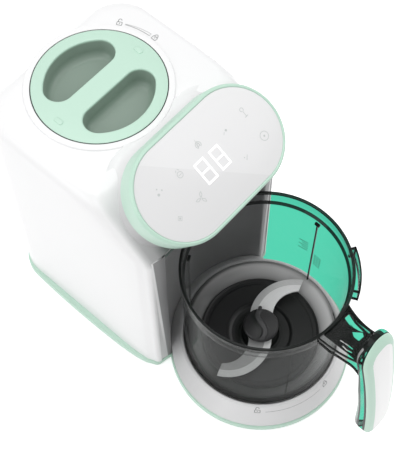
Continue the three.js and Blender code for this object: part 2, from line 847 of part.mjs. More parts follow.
// Small boiler under the tank and the way of the steam to the bowl
function makeSteam(root) {
  const legs = legAngles.map((angle) => {
    const p = at(angle, boilerRadius - legRadius, 0, boilerY);
    return disc(legRadius, trayFloorTop + gap, boilerPlateZ + overrun, 8, p.x, p.y);
  });
  const plate = disc(boilerRadius, boilerPlateZ, boilerPlateZ + boilerPlateThickness, 24, 0, boilerY);
  piece(root, 'boiler_heater', join(plate, ...legs), metal);
  piece(root, 'thermostat', disc(
    thermostatRadius,
    boilerPlateZ - gap - thermostatHeight,
    boilerPlateZ - gap,
    smallSteps,
    0,
    boilerY,
  ), dark);
  const cup = cut(
    disc(boilerRadius, boilerCupZ, boilerCupZ + boilerCupHeight, 24, 0, boilerY),
    disc(boilerRadius - boilerWall, boilerCupZ + boilerWall, boilerCapZ + overrun, 24, 0, boilerY),
  );
  piece(root, 'boiler_cup', cup, steel);
  const outletX = boilerRadius / 2;
  const nipples = [[0, lidCentreY], [-outletX, boilerY]].map(([x, y]) => (
    disc(nippleRadius, boilerCapZ, boilerCapTop + nippleHeight, smallSteps, x, y)
  ));
  const cap = turned([
    [0, boilerCapZ],
    [boilerRadius, boilerCapZ],
    [boilerRadius, boilerCapZ + boilerCapHeight],
    [boilerRadius - boilerCapCrown, boilerCapTop],
    [0, boilerCapTop],
  ], 24, 0, boilerY);
  const bores = [[0, lidCentreY], [-outletX, boilerY]].map(([x, y]) => (
    disc(spoutBore, boilerCapZ - overrun, boilerCapTop + nippleHeight + overrun, 8, x, y)
  ));
  piece(root, 'boiler_cap', cut(join(cap, ...nipples), ...bores), paleGrey);
  const tubeBottom = boilerCapTop + nippleHeight + gap;
  piece(root, 'water_tube', ring(spoutBore, spoutRadius, tubeBottom, tankBottom - spoutLength - gap, smallSteps, 0, lidCentreY), silicone);

  const pipeZ = coverTop + gap + pipeRadius;
  const route = new THREE.CatmullRomCurve3([
    new THREE.Vector3(-outletX, boilerY, tubeBottom),
    new THREE.Vector3(-outletX, boilerY, tubeBottom + 2 * pipeRadius),
    new THREE.Vector3(-pipeSideway, boilerY - boilerRadius / 2, tankBottom),
    new THREE.Vector3(-pipeSideway, (boilerY + lidCentreY) / 2 - boilerRadius, (tankBottom + pipeZ) / 2),
    new THREE.Vector3(-pipeSideway + 2 * pipeRadius, lidCentreY - tankRadius, pipeZ - 8 * pipeRadius),
    new THREE.Vector3(-pipeSideway / 2, lidCentreY - tankRadius - 6 * pipeRadius, pipeZ),
    new THREE.Vector3(0, nozzleY + nozzleRadius + 6 * pipeRadius, pipeZ),
    new THREE.Vector3(0, nozzleY + nozzleRadius + gap, pipeZ),
  ], false, 'centripetal');
  const section = new THREE.Shape(arc(0, 0, pipeRadius, 0, (2 * Math.PI * (pipeSides - 1)) / pipeSides, pipeSides - 1));
  piece(root, 'steam_pipe', solid(new THREE.ExtrudeGeometry(section, {
    steps: pipeSteps,
    extrudePath: route,
    bevelEnabled: false,
  })), silicone);

  const bottom = recessTop - nozzleDrop;
  const nozzle = turned([
    [nozzleBore, bottom],
    [nozzleRadius - 1.5 * gap, bottom],
    [nozzleRadius, bottom + nozzleDrop / 3],
    [nozzleRadius, recessTop - nozzleFlangeThickness - gap],
    [nozzleRadius, coverTop + nozzleRise],
    [0, coverTop + nozzleRise],
    [0, coverTop + nozzleRise - nozzleFlangeThickness],
    [nozzleBore, coverTop + nozzleRise - nozzleFlangeThickness],
    [nozzleBore, bottom],
  ], smallSteps, 0, nozzleY);
  piece(root, 'steam_nozzle', nozzle, paleGrey);
  piece(root, 'nozzle_seal', ring(
    nozzleRadius + gap,
    nozzleFlange,
    recessTop - gap - nozzleFlangeThickness,
    recessTop - gap,
    smallSteps,
    0,
    nozzleY,
  ), silicone);
}

// Flat belt round both pulleys: the outer tangents of two circles
function beltOutline(thickness) {
  const small = motorPulleyRadius + gap + thickness;
  const large = drivePulleyRadius + gap + thickness;
  const lean = Math.asin((large - small) / motorY);
  return [
    ...arc(0, motorY, small, lean, Math.PI - lean, 8),
    ...arc(0, 0, large, Math.PI - lean, 2 * Math.PI + lean, 18),
  ];
}

function makeDrive(root) {
  const plateZ = trayFloorTop + gap + bracketHeight;
  const reach = motorRadius + bracketOverhang;
  const legs = legAngles.map((angle) => {
    const p = at(angle, reach - legRadius, 0, motorY);
    return disc(legRadius, trayFloorTop + gap, plateZ + overrun, 8, p.x, p.y);
  });
  const plate = ring(motorPulleyRadius / 2, reach, plateZ, plateZ + bracketThickness, 24, 0, motorY);
  piece(root, 'motor_bracket', join(plate, ...legs), metal);
  const w = motorWall;
  const canTop = motorZ + motorHeight;
  const bore = motorShaftRadius + running;
  const can = turned([
    [bore, motorZ],
    [motorRadius, motorZ],
    [motorRadius, canTop - w],
    [motorRadius - w, canTop],
    [bore, canTop],
    [bore, canTop - w],
    [motorRadius - 2 * w, canTop - w],
    [motorRadius - w, canTop - 2 * w],
    [motorRadius - w, motorZ + w],
    [bore, motorZ + w],
    [bore, motorZ],
  ], 24, 0, motorY);
  piece(root, 'motor_can', can, metal);
  const r = motorShaftRadius;
  const rotor = turned([
    [0, trayFloorTop + gap],
    [r, trayFloorTop + gap],
    [r, motorZ + rotorEnd],
    [rotorRadius, motorZ + rotorEnd],
    [rotorRadius, canTop - 2 * rotorEnd],
    [rotorRadius / 2, canTop - 2 * rotorEnd],
    [rotorRadius / 2, canTop - rotorEnd],
    [r, canTop - rotorEnd],
    [r, canTop + 2 * w],
    [0, canTop + 2 * w],
  ], smallSteps, 0, motorY);
  piece(root, 'motor_rotor', rotor, steel);
  piece(root, 'motor_pulley', ring(r + gap, motorPulleyRadius, beltBottom, beltTop, smallSteps, 0, motorY), brass);

  const loop = cut(
    slab(beltOutline(beltThickness), beltBottom, beltTop),
    slab(beltOutline(0), beltBottom - overrun, beltTop + overrun),
  );
  piece(root, 'drive_belt', loop, rubber);

  const shaft = driveShaftRadius;
  const pulley = turned([
    [shaft + gap, beltBottom],
    [drivePulleyRadius, beltBottom],
    [drivePulleyRadius, beltTop],
    [drivePulleyRadius - 2 * w, beltTop],
    [drivePulleyRadius - 3 * w, beltBottom + w / 2],
    [shaft + 2 * w, beltBottom + w / 2],
    [shaft + 2 * w, beltTop],
    [shaft + gap, beltTop],
    [shaft + gap, beltBottom],
  ], 32);
  piece(root, 'drive_pulley', pulley, brass);
  piece(root, 'drive_shaft', disc(shaft, trayFloorTop + gap, driveTeethTop - dogHeight, smallSteps), steel);
  piece(root, 'drive_bearing', ring(shaft + gap, driveBearingRadius, beltTop + gap, pitFloorHeight - gap, smallSteps), brass);
  const tooth = (angle) => {
    const outline = [
      ...arc(0, 0, dogRadius, angle - dogHalfAngle, angle + dogHalfAngle, 3),
      ...arc(0, 0, dogInner, angle + dogHalfAngle, angle - dogHalfAngle, 2),
    ];
    return outline;
  };
  const driveTeeth = [0, Math.PI].map((angle) => (
    slab(tooth(angle), driveDogBottom + dogDisc - gap, driveTeethTop)
  ));
  const driveDog = join(disc(dogRadius, driveDogBottom, driveDogBottom + dogDisc, 24), ...driveTeeth);
  piece(root, 'drive_dog', cut(
    driveDog,
    disc(shaft + gap, driveDogBottom - overrun, driveTeethTop - dogHeight + gap, smallSteps),
  ), dark);

  const drivenTeeth = [Math.PI / 2, -Math.PI / 2].map((angle) => (
    slab(tooth(angle), drivenTeethBottom, drivenDogTop - dogDisc + gap)
  ));
  const drivenDog = join(disc(dogRadius, drivenDogTop - dogDisc, drivenDogTop, 24), ...drivenTeeth);
  piece(root, 'driven_dog', cut(
    drivenDog,
    disc(spindleRadius + gap, drivenDogTop - dogDisc + gap, drivenDogTop + overrun, smallSteps),
  ), dark);
  piece(root, 'spindle_shaft', disc(spindleRadius, drivenDogTop - dogDisc + 2 * gap, capZ + capBore - gap, smallSteps), steel);
}

function makeElectrics(root) {
  const bottom = trayFloorTop + gap;
  const blocks = blockShares.map(([y, z, length, height]) => block(
    boardX - blockDepth,
    boardX + boardThickness / 2,
    boardY + y * boardLength,
    boardY + (y + length) * boardLength,
    bottom + z * boardHeight,
    bottom + (z + height) * boardHeight,
  ));
  const sheet = block(boardX, boardX + boardThickness, boardY, boardY + boardLength, bottom, bottom + boardHeight);
  piece(root, 'power_board', join(sheet, ...blocks), board);

  const face = gap + inletWall;
  const body = join(
    placedInlet(inletRadius + inletWall, face, -inletDepth),
    placedInlet(inletRadius + inletWall + inletFlange, face, gap),
  );
  const socket = placedInlet(inletRadius, face + overrun, inletWall - inletDepth);
  piece(root, 'power_inlet', cut(body, socket), dark);
  const back = inletBack();
  [-1, 1].forEach((side, i) => {
    const geometry = new THREE.CylinderGeometry(pinRadius, pinRadius, pinLength, 8);
    const start = back - inletDepth + inletWall + gap;
    geometry.translate(inletX + side * inletHalfStraight, start + pinLength / 2, inletZ);
    piece(root, `inlet_pin_${i + 1}`, solid(geometry), brass);
  });

  const place = at(switchAngle, switchReach);
  piece(root, 'bowl_switch', block(
    place.x - switchLength / 2,
    place.x + switchLength / 2,
    place.y - switchWidth / 2,
    place.y + switchWidth / 2,
    bottom,
    wellFloorHeight - deckWall - gap,
  ), dark);
}

const inletBack = () => towerBack - (backDraft * inletZ) / towerHeight;

// A long round-ended body that lies along Y in the tower's back wall, between two distances out of it
function placedInlet(radius, outer, inner) {
  const matrix = new THREE.Matrix4()
    .makeTranslation(inletX, inletBack(), inletZ)
    .multiply(new THREE.Matrix4().makeRotationX(Math.PI / 2));
  return slab(stadium(inletHalfStraight, radius, 0, 6), -outer, -inner, matrix);
}

function makeBowl(root) {
  const collarFoot = jarStep - jarCollarStep;
  const jar = turned([
    [jarMouth, jarBottom],
    [jarFloorRadius + 2 * jarWall, jarBottom],
    [jarRadius - jarWall, (jarBottom + jarShoulderHeight) / 2],
    [jarRadius, jarShoulderHeight],
    [jarRadius, collarFoot],
    [jarRim, jarStep],
    [jarRim, jarTop - jarWall / 3],
    [jarRim - jarWall / 3, jarTop],
    [jarRim - jarWall, jarTop],
    [jarRim - jarWall, jarStep + jarWall],
    [jarInner, jarStep - jarCollarStep + jarWall],
    [jarInner, jarShoulderHeight],
    [jarInner - 2 * jarWall, (jarFloorTop + jarShoulderHeight) / 2],
    [jarFloorRadius, jarFloorTop],
    [jarMouth, jarFloorTop],
    [jarMouth, jarBottom],
  ], 56);
  const ribs = ribAngles.map((angle) => {
    const outline = [
      [jarInner + jarWall / 2, -ribWidth / 2],
      [jarInner + jarWall / 2, ribWidth / 2],
      [jarInner - ribDepth, ribWidth / 2],
      [jarInner - ribDepth, -ribWidth / 2],
    ].map(([x, y]) => new THREE.Vector2(x, y).rotateAround(new THREE.Vector2(), angle));
    return slab(outline, ribBottom, ribBottom + ribLength);
  });
  const lugOutline = (outer, inner, half) => [
    ...arc(0, 0, outer, lugAngle - half, lugAngle + half, 5),
    ...arc(0, 0, inner, lugAngle + half, lugAngle - half, 5),
  ];
  const lugTop = jarTop - lugDrop;
  const lug = cut(
    slab(lugOutline(jarRim + lugReach, jarRim - jarWall / 2, lugHalfAngle), lugTop - lugHeight, lugTop),
    slab(
      lugOutline(jarRim + lugReach - lugWall, jarRim + overrun / 2, lugHalfAngle * 0.85),
      lugTop - lugHeight - overrun,
      lugTop - lugWall,
    ),
  );
  makeHandle(root, join(jar, ...ribs, lug));

  const grooves = [];
  for (let i = floorGrooveCount; i > 0; i -= 1) {
    const radius = bossRadius + ((jarFloorRadius - bossRadius) * i) / (floorGrooveCount + 1);
    grooves.push(
      [radius + floorGrooveWidth / 2, floorTop],
      [radius + floorGrooveWidth / 2 - floorGroove, floorTop - floorGroove],
      [radius - floorGrooveWidth / 2 + floorGroove, floorTop - floorGroove],
      [radius - floorGrooveWidth / 2, floorTop],
    );
  }
  const plate = turned([
    [bushRadius + gap, floorUnderside],
    [jarMouth - gap, floorUnderside],
    [jarMouth - gap, jarFloorTop + gap],
    [jarFloorRadius - gap, jarFloorTop + gap],
    [jarFloorRadius - gap, floorTop],
    ...grooves,
    [bushRadius + gap, floorTop],
    [bushRadius + gap, floorUnderside],
  ], 44);
  piece(root, 'bowl_floor', plate, dark);
  const bush = ring(spindleRadius + gap, bushRadius, floorUnderside, floorTop, smallSteps);
  piece(root, 'spindle_bush', bush, brass);

  piece(root, 'bowl_gasket', ring(
    jarMouth + gasketWidth,
    jarMouth + 2 * gasketWidth,
    wellFloorHeight + gap,
    jarBottom - gap,
    36,
  ), silicone);
}

function makeBlades(root) {
  const core = join(
    disc(hubRadius, hubBottom, hubBottom + hubFlange, 24),
    disc(hubCore, hubBottom, capZ + capBore, smallSteps),
  );
  const bore = disc(spindleRadius + gap, hubBottom - overrun, capZ + capBore + overrun, smallSteps);
  piece(root, 'blade_hub', cut(core, bore), dark);
  piece(root, 'blade_spacer', ring(hubCore + gap, hubRadius, spacerZ, spacerZ + spacerHeight, 24), dark);

  // The sickle lies between two arcs, from the hub to a slanted tip
  const meet = (circle, reach) => {
    const distance = Math.hypot(circle.x, circle.y);
    const base = Math.atan2(circle.y, circle.x);
    const swing = Math.acos((distance ** 2 + reach ** 2 - circle.r ** 2) / (2 * distance * reach));
    const point = at(base + swing, reach);
    return Math.atan2(point.y - circle.y, point.x - circle.x);
  };
  const sickle = (turn) => {
    const [o, i] = [outerArcShares, innerArcShares].map(([x, y, r]) => (
      { x: x * bladeReach, y: y * bladeReach, r: r * bladeReach }
    ));
    const outerTip = meet(o, bladeReach);
    const innerTip = meet(i, bladeHeel);
    const outline = [
      ...arc(o.x, o.y, o.r, outerTip, outerTip + 1.95, bladeSteps),
      ...arc(i.x, i.y, i.r, innerTip + 2.15, innerTip, bladeSteps),
    ];
    return outline.map((p) => p.clone().rotateAround(new THREE.Vector2(), turn));
  };
  const blade = (turn, z) => cut(
    join(disc(hubRadius, z, z + bladeThickness, 24), slab(sickle(turn), z, z + bladeThickness)),
    disc(hubCore + gap, z - overrun, z + bladeThickness + overrun, smallSteps),
  );
  piece(root, 'blade_lower', blade(Math.PI, lowerBladeZ), steel);
  piece(root, 'blade_upper', blade(0, upperBladeZ), steel);

  const dome = turned([
    [0, capZ],
    [capRadius, capZ],
    [capRadius, capZ + capEdge],
    [capRadius * 0.8, capZ + capEdge + capCrown * 0.6],
    [capRadius * 0.45, capZ + capEdge + capCrown * 0.93],
    [0, capZ + capEdge + capCrown],
  ], 28);
  const length = capRadius * 0.92;
  const along = (share, side) => {
    const x = Math.sin(share * Math.PI) * ridgeSwing;
    const y = share * length;
    const slope = Math.atan2(Math.cos(share * Math.PI) * Math.PI * ridgeSwing, length);
    return new THREE.Vector2(x + (side * Math.cos(slope) * ridgeWidth) / 2, y - (side * Math.sin(slope) * ridgeWidth) / 2);
  };
  const shares = Array.from({ length: 9 }, (_, i) => -1 + i / 4);
  const ridgeOutline = [
    ...shares.map((share) => along(share, 1)),
    ...shares.slice().reverse().map((share) => along(share, -1)),
  ];
  const ridge = slab(ridgeOutline, capZ + capEdge / 2, capZ + capEdge + capCrown + ridgeHeight);
  const shaped = ridge.intersect(turned([
    [0, capZ],
    [capRadius * 0.95, capZ],
    [capRadius * 0.95, capZ + capEdge + ridgeHeight],
    [capRadius * 0.45, capZ + capEdge + capCrown + ridgeHeight],
    [0, capZ + capEdge + capCrown + ridgeHeight],
  ], 28));
  const nub = disc(nubRadius, capZ, capZ + capEdge, 8, 0, capRadius);
  const bore2 = disc(hubCore + gap, capZ - overrun, capZ + capBore + gap, smallSteps);
  piece(root, 'hub_cap', cut(join(dome, shaped, nub), bore2), dark);
}

// How far the grip's outer face reaches from the bowl's axis, and half its width, at a share from top to foot
const gripReach = (share) => (
  gripTopReach + (gripBottomReach - gripTopReach) * share + 4 * gripBow * share * (1 - share)
);
const gripHalfWidth = (share) => gripTopHalfWidth + (gripBottomHalfWidth - gripTopHalfWidth) * share;

// The grip as a whole: flattened ovals along its height, closed by round ends; proud is how much
// further its outer half stands out
function gripForm(inset, proud = 0) {
  const levels = [];
  for (let i = 0; i <= gripLevels; i += 1) {
    const turn = (Math.PI * i) / gripLevels;
    const share = (1 + Math.cos(turn)) / 2;
    const z = gripBottom + inset + (1 - share) * (gripTop - gripBottom - 2 * inset);
    const place = (gripTop - z) / (gripTop - gripBottom);
    const fromTop = Math.max(0, 1 - (gripTop - inset - z) / (gripTopArch - inset));
    const fromFoot = Math.max(0, 1 - (z - gripBottom - inset) / (gripBottomArch - inset));
    const close = Math.max(gripEndFlat, Math.sqrt(1 - Math.max(fromTop, fromFoot) ** 2));
    const half = (gripHalfWidth(place) - inset) * close;
    const depth = (gripDepth / 2) * Math.max(0.45, close);
    const centre = -(gripReach(place) - gripDepth / 2);
    const outline = Array.from({ length: gripSides }, (_, k) => {
      const angle = (2 * Math.PI * (k + 0.5)) / gripSides;
      const squared = (value) => Math.sign(value) * Math.abs(value) ** 0.6;
      const y = centre + depth * squared(Math.sin(angle));
      return new THREE.Vector2(half * squared(Math.cos(angle)), y < centre ? y - proud : y);
    });
    levels.push({ z, outline });
  }
  return loft(levels);
}

// Everything between two depths below the grip's outer face
function gripLayer(shallow, deep) {
  const levels = [];
  for (let i = 0; i <= gripLevels; i += 1) {
    const z = gripBottom - overrun + (i / gripLevels) * (gripTop - gripBottom + 2 * overrun);
    const reach = gripReach((gripTop - z) / (gripTop - gripBottom));
    const half = gripTopHalfWidth + overrun;
    levels.push({
      z,
      outline: [[-half, -reach + shallow], [half, -reach + shallow], [half, -reach + deep], [-half, -reach + deep]]
        .map(([x, y]) => new THREE.Vector2(x, y)),
    });
  }
  return loft(levels);
}

// The arm from the bowl's rim to the grip, hollow from below, with a boss for the grip's screw
function armForm() {
  const reach = gripReach((gripTop - armTop) / (gripTop - gripBottom)) - gripFrameDepth - gap;
  const start = jarRim - jarWall / 2;
  const plan = (inset, near, far) => {
    const a = armHalfWidth - inset;
    const b = armWaist - inset;
    const c = armEndHalfWidth - inset;
    const middle = (near + far) / 2;
    return [
      ...bend(new THREE.Vector2(-a, -near), new THREE.Vector2(-b, -middle), new THREE.Vector2(-c, -far), 5),
      ...bend(new THREE.Vector2(c, -far), new THREE.Vector2(b, -middle), new THREE.Vector2(a, -near), 5),
    ];
  };
  const side = [
    new THREE.Vector2(-start / 2, armTop),
    ...bend(
      new THREE.Vector2(-start, armTop),
      new THREE.Vector2(-(start + reach) / 2, 2 * armSaddle - armTop),
      new THREE.Vector2(-reach, armTop),
      6,
    ),
    new THREE.Vector2(-gripHeel.reach, gripHeel.z),
    ...bend(
      new THREE.Vector2(-gripHeel.reach + gap, gripHeel.z),
      new THREE.Vector2(-gripHeel.reach + gripFrameDepth / 2, armBottom),
      new THREE.Vector2(-armStraight, armBottom),
      4,
    ),
    new THREE.Vector2(-start / 2, armBottom),
  ];
  const sideways = new THREE.Matrix4().makeBasis(
    new THREE.Vector3(0, 1, 0),
    new THREE.Vector3(0, 0, 1),
    new THREE.Vector3(1, 0, 0),
  );
  const profile = loft([
    { z: -armHalfWidth - overrun, outline: side },
    { z: armHalfWidth + overrun, outline: side },
  ], sideways);
  const outer = slab(plan(0, start - jarWall, reach), gripBottom, armTop).intersect(profile);
  const hollow = slab(
    plan(armWall, jarRim + armWall, armStraight + armWall),
    gripBottom,
    armSaddle - armWall,
  );
  const trimmed = cut(outer, hollow, disc(start, gripBottom, armTop + overrun, 56));
  const x = bossPlace();
  return join(trimmed, disc(bossOuter, tongueTop() + gap, armSaddle - armWall / 2, smallSteps, 0, x));
}

const tongueTop = () => armBottom + tongueRise + tongueThickness;
const bossPlace = () => -(jarRim + bossInnerShare * (armStraight - jarRim));

// The frame's tongue reaches into the arm and is screwed to its boss
function tongueForm(grow) {
  const end = gripReach((gripTop - armBottom) / (gripTop - gripBottom)) - 0.8 * gripFrameDepth;
  return block(
    -tongueHalf - grow,
    tongueHalf + grow,
    -end,
    bossPlace() + bossOuter + grow,
    tongueTop() - tongueThickness - grow,
    tongueTop() + grow,
  );
}

function makeHandle(root, jar) {
  const whole = gripForm(0);
  const inner = whole.intersect(gripLayer(gripFrameDepth + gap, gripDepth + overrun));
  const y = bossPlace();
  const pilot = disc(screwRadius + gap, armBottom, armSaddle - armWall, 8, 0, y);
  piece(root, 'bowl_jar', cut(join(jar, inner, armForm()), tongueForm(gap), pilot), smoke);

  const outerLayer = whole.intersect(gripLayer(-overrun, gripFrameDepth));
  const seat = gripForm(gripCoverInset - gap, overrun).intersect(gripLayer(-2 * overrun, gripCoverDepth + gap));
  piece(root, 'grip_frame', cut(join(cut(outerLayer, seat), tongueForm(0)), pilot), mint);
  piece(root, 'grip_cover', gripForm(gripCoverInset).intersect(gripLayer(-overrun, gripCoverDepth)), white);
  const head = tongueTop() - tongueThickness - gap;
  piece(root, 'handle_screw', turned([
    [0, head - screwHeadHeight],
    [screwHeadRadius, head - screwHeadHeight],
    [screwHeadRadius, head],
    [screwRadius, head],
    [screwRadius, armSaddle - armWall - gap],
    [0, armSaddle - armWall - gap],
  ], 8, 0, y), metal);
}

const part = new THREE.Group();
makeTray(part);
makeHousing(part);
makeFrontCover(part);
makeDeck(part);
makeHead(part);
makeTank(part);
makeSteam(part);
makeDrive(part);
makeElectrics(part);
makeBowl(part);
makeBlades(part);

// The origin goes to the middle of the footprint, on the floor
part.updateMatrixWorld(true);
const bounds = new THREE.Box3().setFromObject(part, true);
part.position.set(-(bounds.min.x + bounds.max.x) / 2, -(bounds.min.y + bounds.max.y) / 2, -bounds.min.z);
part.updateMatrixWorld(true);

export default part;
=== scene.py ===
"""Looks of a baby food processor: a white steaming tower with a mint tank lid and a tilted touch
panel, and a clear blending bowl on a round deck in front of it.

Lengths in the functions are millimetres, measured from the bowl's axis on the floor, with +Y
towards the tower and +Z up. placed() turns them into the row frame's metres.
"""
import json
import math

import bmesh
import bpy
import numpy as np
from bpy.props import FloatProperty, FloatVectorProperty, PointerProperty
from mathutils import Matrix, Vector


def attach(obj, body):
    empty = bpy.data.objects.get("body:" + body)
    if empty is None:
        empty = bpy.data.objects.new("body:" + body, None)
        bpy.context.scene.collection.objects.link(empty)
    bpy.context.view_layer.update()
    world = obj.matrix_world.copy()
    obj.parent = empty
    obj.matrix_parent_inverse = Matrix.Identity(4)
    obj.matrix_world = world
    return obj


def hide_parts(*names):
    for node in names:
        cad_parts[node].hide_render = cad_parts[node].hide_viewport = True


bl_info = {
    "name": "Baby food processor looks",
    "version": (1, 0, 0),
    "blender": (4, 5, 0),
    "location": "3D View > Sidebar > Food processor",
    "description": "Builds the visible pieces of a steaming and blending baby food processor",
    "category": "Object",
}

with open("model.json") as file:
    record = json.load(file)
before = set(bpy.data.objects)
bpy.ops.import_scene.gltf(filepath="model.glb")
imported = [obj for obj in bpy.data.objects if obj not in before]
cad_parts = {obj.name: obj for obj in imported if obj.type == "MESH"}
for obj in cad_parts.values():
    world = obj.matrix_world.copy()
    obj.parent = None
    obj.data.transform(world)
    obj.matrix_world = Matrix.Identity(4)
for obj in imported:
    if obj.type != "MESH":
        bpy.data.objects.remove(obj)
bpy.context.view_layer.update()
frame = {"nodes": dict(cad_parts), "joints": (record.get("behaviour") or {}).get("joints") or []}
JOINTS = {joint["name"]: joint for joint in frame["joints"]}
AXIS_Y = JOINTS["bowl_turn"]["pos_m"][1] * 1000
LID_Y = JOINTS["lid_turn"]["pos_m"][1] * 1000 - AXIS_Y

# The tower, in millimetres from the bowl's axis and the floor: its half width, the faces of front and back,
# the underside of its shell, its roof over the bowl, where its front starts to lean, and its top
HALF_WIDTH = 80
BAY = 51
BACK = 230
SHELL_LOW = 9.6
ROOF = 202.7
LEAN_FROM = 202
LEAN = math.radians(41.4)
TOP = 244

# The panel: its tilt, the middle of its plane as y and z, half its straight length and the glass's radius
TILT = math.radians(31.4)
PANEL = (58.2, 253.7)
PANEL_HALF = 29
PANE = 37.3

# The lid, its collar and its recesses: top, radii and half the bar between the recesses
LID_TOP = 245.2
LID = 52.3
COLLAR = 58.1
RECESS = 42.6
RECESS_CORNER = 12
BAR = 9

# The cover's arc behind the bowl, inside and outside
COVER = 78.5
COVER_BACK = 81

# The bowl: its wall inside and outside, its collar, the arm's reach and the grip's heights and depth
WALL_IN = 64
WALL = 66.4
JAR_COLLAR = 68.8
ARM_FROM = 65
ARM_TO = 103.5
GRIP_LOW = 31
GRIP_HIGH = 178
GRIP_DEPTH = 15.5

# The hub's cap: its radius, and the heading, half length and swing of its S-shaped ridge
CAP = 15.4
RIDGE = math.radians(43)
RIDGE_HALF = 14.5
RIDGE_SWING = 2.9


# Values a user would change


def length(name, millimetres, description):
    """A length property; its default is given in millimetres."""
    return FloatProperty(name=name, description=description, default=millimetres / 1000, unit="LENGTH")


def colour(name, values, description):
    """A colour property in linear red, green and blue."""
    return FloatVectorProperty(name=name, description=description, default=values, subtype="COLOR",
                               min=0, max=1)


class FoodProcessorSizes(bpy.types.PropertyGroup):
    """Sizes of the food processor's visible pieces"""

    edge_round: length("Edge rounding", 1.2, "Radius of the moulded edges")
    recess_draft: length("Recess draft", 1.6, "How far a finger recess narrows down to its floor")
    recess_depth: length("Recess depth", 16, "Depth of the lid's finger recesses")
    recess_floor_round: length("Recess floor rounding", 6, "Radius between a recess's wall and floor")
    sign_stroke: length("Sign stroke", 0.65, "Width of the printed lines")
    digit_height: length("Digit height", 18, "Height of the two display digits")
    digit_stroke: length("Digit stroke", 1.5, "Width of a segment of the display")
    blade_bevel: length("Blade bevel", 6, "Width of the ground edge of a blade")
    ridge_height: length("Ridge height", 1.6, "Height of the S-shaped ridge on the hub cap")
    cover_crown: length("Grip cover step", 0.5, "How far the grip's cover stands proud of its frame")
    cover_inset: length("Grip cover inset", 2.4, "Width of the frame's margin round the grip's cover")
    tray_flange: length("Tray flange", 5, "How far the tray stands out beyond the tower's sides")
    rib_width: length("Rib width", 1.2, "Width of the ribs on the bowl's wall")


class FoodProcessorColours(bpy.types.PropertyGroup):
    """Colours of the food processor's finishes"""

    white: colour("White", (0.90, 0.90, 0.905), "White mouldings")
    # Painted shade on the shell's slope under the panel, on the neck's low side and in the deck's corner
    under_rim_shade: colour("Under the rim", (0.27, 0.27, 0.275), "The shell's slope under the panel")
    # Set a shade greyer than the white as painted shade on the deck
    deck: colour("Deck white", (0.77, 0.77, 0.775), "White of the deck and the neck")
    # Partly the cover's own grey and partly painted shade of the bay round the bowl
    grey: colour("Pale grey", (0.29, 0.29, 0.293), "Cover behind the bowl")
    # Painted light on the cover's strips and roof
    strip: colour("Strip grey", (0.67, 0.67, 0.675), "Strips at the tower's front edges")
    # Painted shade on the cover's sides and on the inner part of its strips
    strip_low: colour("Inner strip grey", (0.22, 0.22, 0.223), "Inner part of those strips")
    # Set brighter than the white as painted light on the grip's cover
    grip_white: colour("Grip white", (0.98, 0.98, 0.98), "Cover of the grip")
    mint: colour("Mint", (0.545, 0.765, 0.64), "Mint mouldings")
    # Painted shade down in the lid's recesses
    mint_recess_shade: colour("Painted recess shade", (0.245, 0.325, 0.27), "Mint inside the lid's recesses")
    # Painted shadow: in the lid's gap, at the shell's low front corner and along the cover's roof edge
    gap: colour("Gap", (0.08, 0.11, 0.095), "Edge of the lid, down in its gap")
    smoke: colour("Clear smoke", (0.862, 0.868, 0.866), "What passes through one wall of the bowl")
    # Also painted shade on the bowl's floor and a painted shadow beside the hub cap's ridge
    smoke_edge: colour("Smoke edge", (0.010, 0.012, 0.011), "Edges of the clear bowl, seen along the wall")
    dark: colour("Dark grey", (0.026, 0.026, 0.027), "Bowl floor, hub and clutch")
    glass: colour("Panel glass", (0.83, 0.83, 0.835), "Back-printed glass of the panel")
    print_grey: colour("Print grey", (0.27, 0.28, 0.28), "Printed signs")
    light: colour("Display light", (1, 1, 1), "Lit segments of the display")
    steel: colour("Steel", (0.93, 0.935, 0.935), "Blades and shafts")


def mm(name):
    """A size of the scene's property group, in millimetres."""
    return getattr(bpy.context.scene.food_processor_sizes, name) * 1000


def tint(name):
    """A colour of the scene's property group, with full alpha."""
    return (*getattr(bpy.context.scene.food_processor_colours, name), 1)


# Surfaces


def placed(points):
    """Points in millimetres from the bowl's axis, moved to the row frame in metres."""
    return (np.asarray(points, float).reshape(-1, 3) + [0, AXIS_Y, 0]) / 1000


def tilted(points):
    """Points of the panel's own plane (x, up the slope, out of it), turned by the tilt and set in place."""
    x, v, n = np.moveaxis(np.asarray(points, float), -1, 0)
    return np.stack([x, PANEL[0] + v * math.cos(TILT) - n * math.sin(TILT),
                     PANEL[1] + v * math.sin(TILT) + n * math.cos(TILT)], -1)


def grid_faces(rows, columns, around=True, ring=False, start=0):
    """Quads between the vertices of a grid numbered row by row; around and ring close it both ways."""
    r = np.arange(rows if ring else rows - 1)[:, None]
    c = np.arange(columns if around else columns - 1)[None, :]
    after, beside = (r + 1) % rows, (c + 1) % columns
    quads = [r * columns + c, r * columns + beside, after * columns + beside, after * columns + c]
    return np.stack(quads, -1) + start


def skin(sections, ring=False, caps=True, keep=None):
    """Vertices and faces over sections, an array (level, point, 3); every section is a closed outline.
    keep is a mask over the quads (level, point), and caps closes the first and last outline."""
    sections = np.asarray(sections, float)
    rows, columns = sections.shape[:2]
    quads = grid_faces(rows, columns, True, ring)
    faces = (quads if keep is None else quads[keep]).reshape(-1, 4).tolist()
    if caps and not ring:
        faces.append(list(range(columns))[::-1])
        faces.append(list(range((rows - 1) * columns, rows * columns)))
    return sections.reshape(-1, 3), faces


def merged(*parts):
    """Several (vertices, faces) pairs as one."""
    vertices, faces, start = [], [], 0
    for points, polygons in parts:
        vertices.append(np.asarray(points, float).reshape(-1, 3))
        faces += [[i + start for i in polygon] for polygon in polygons]
        start += len(vertices[-1])
    return np.concatenate(vertices), faces


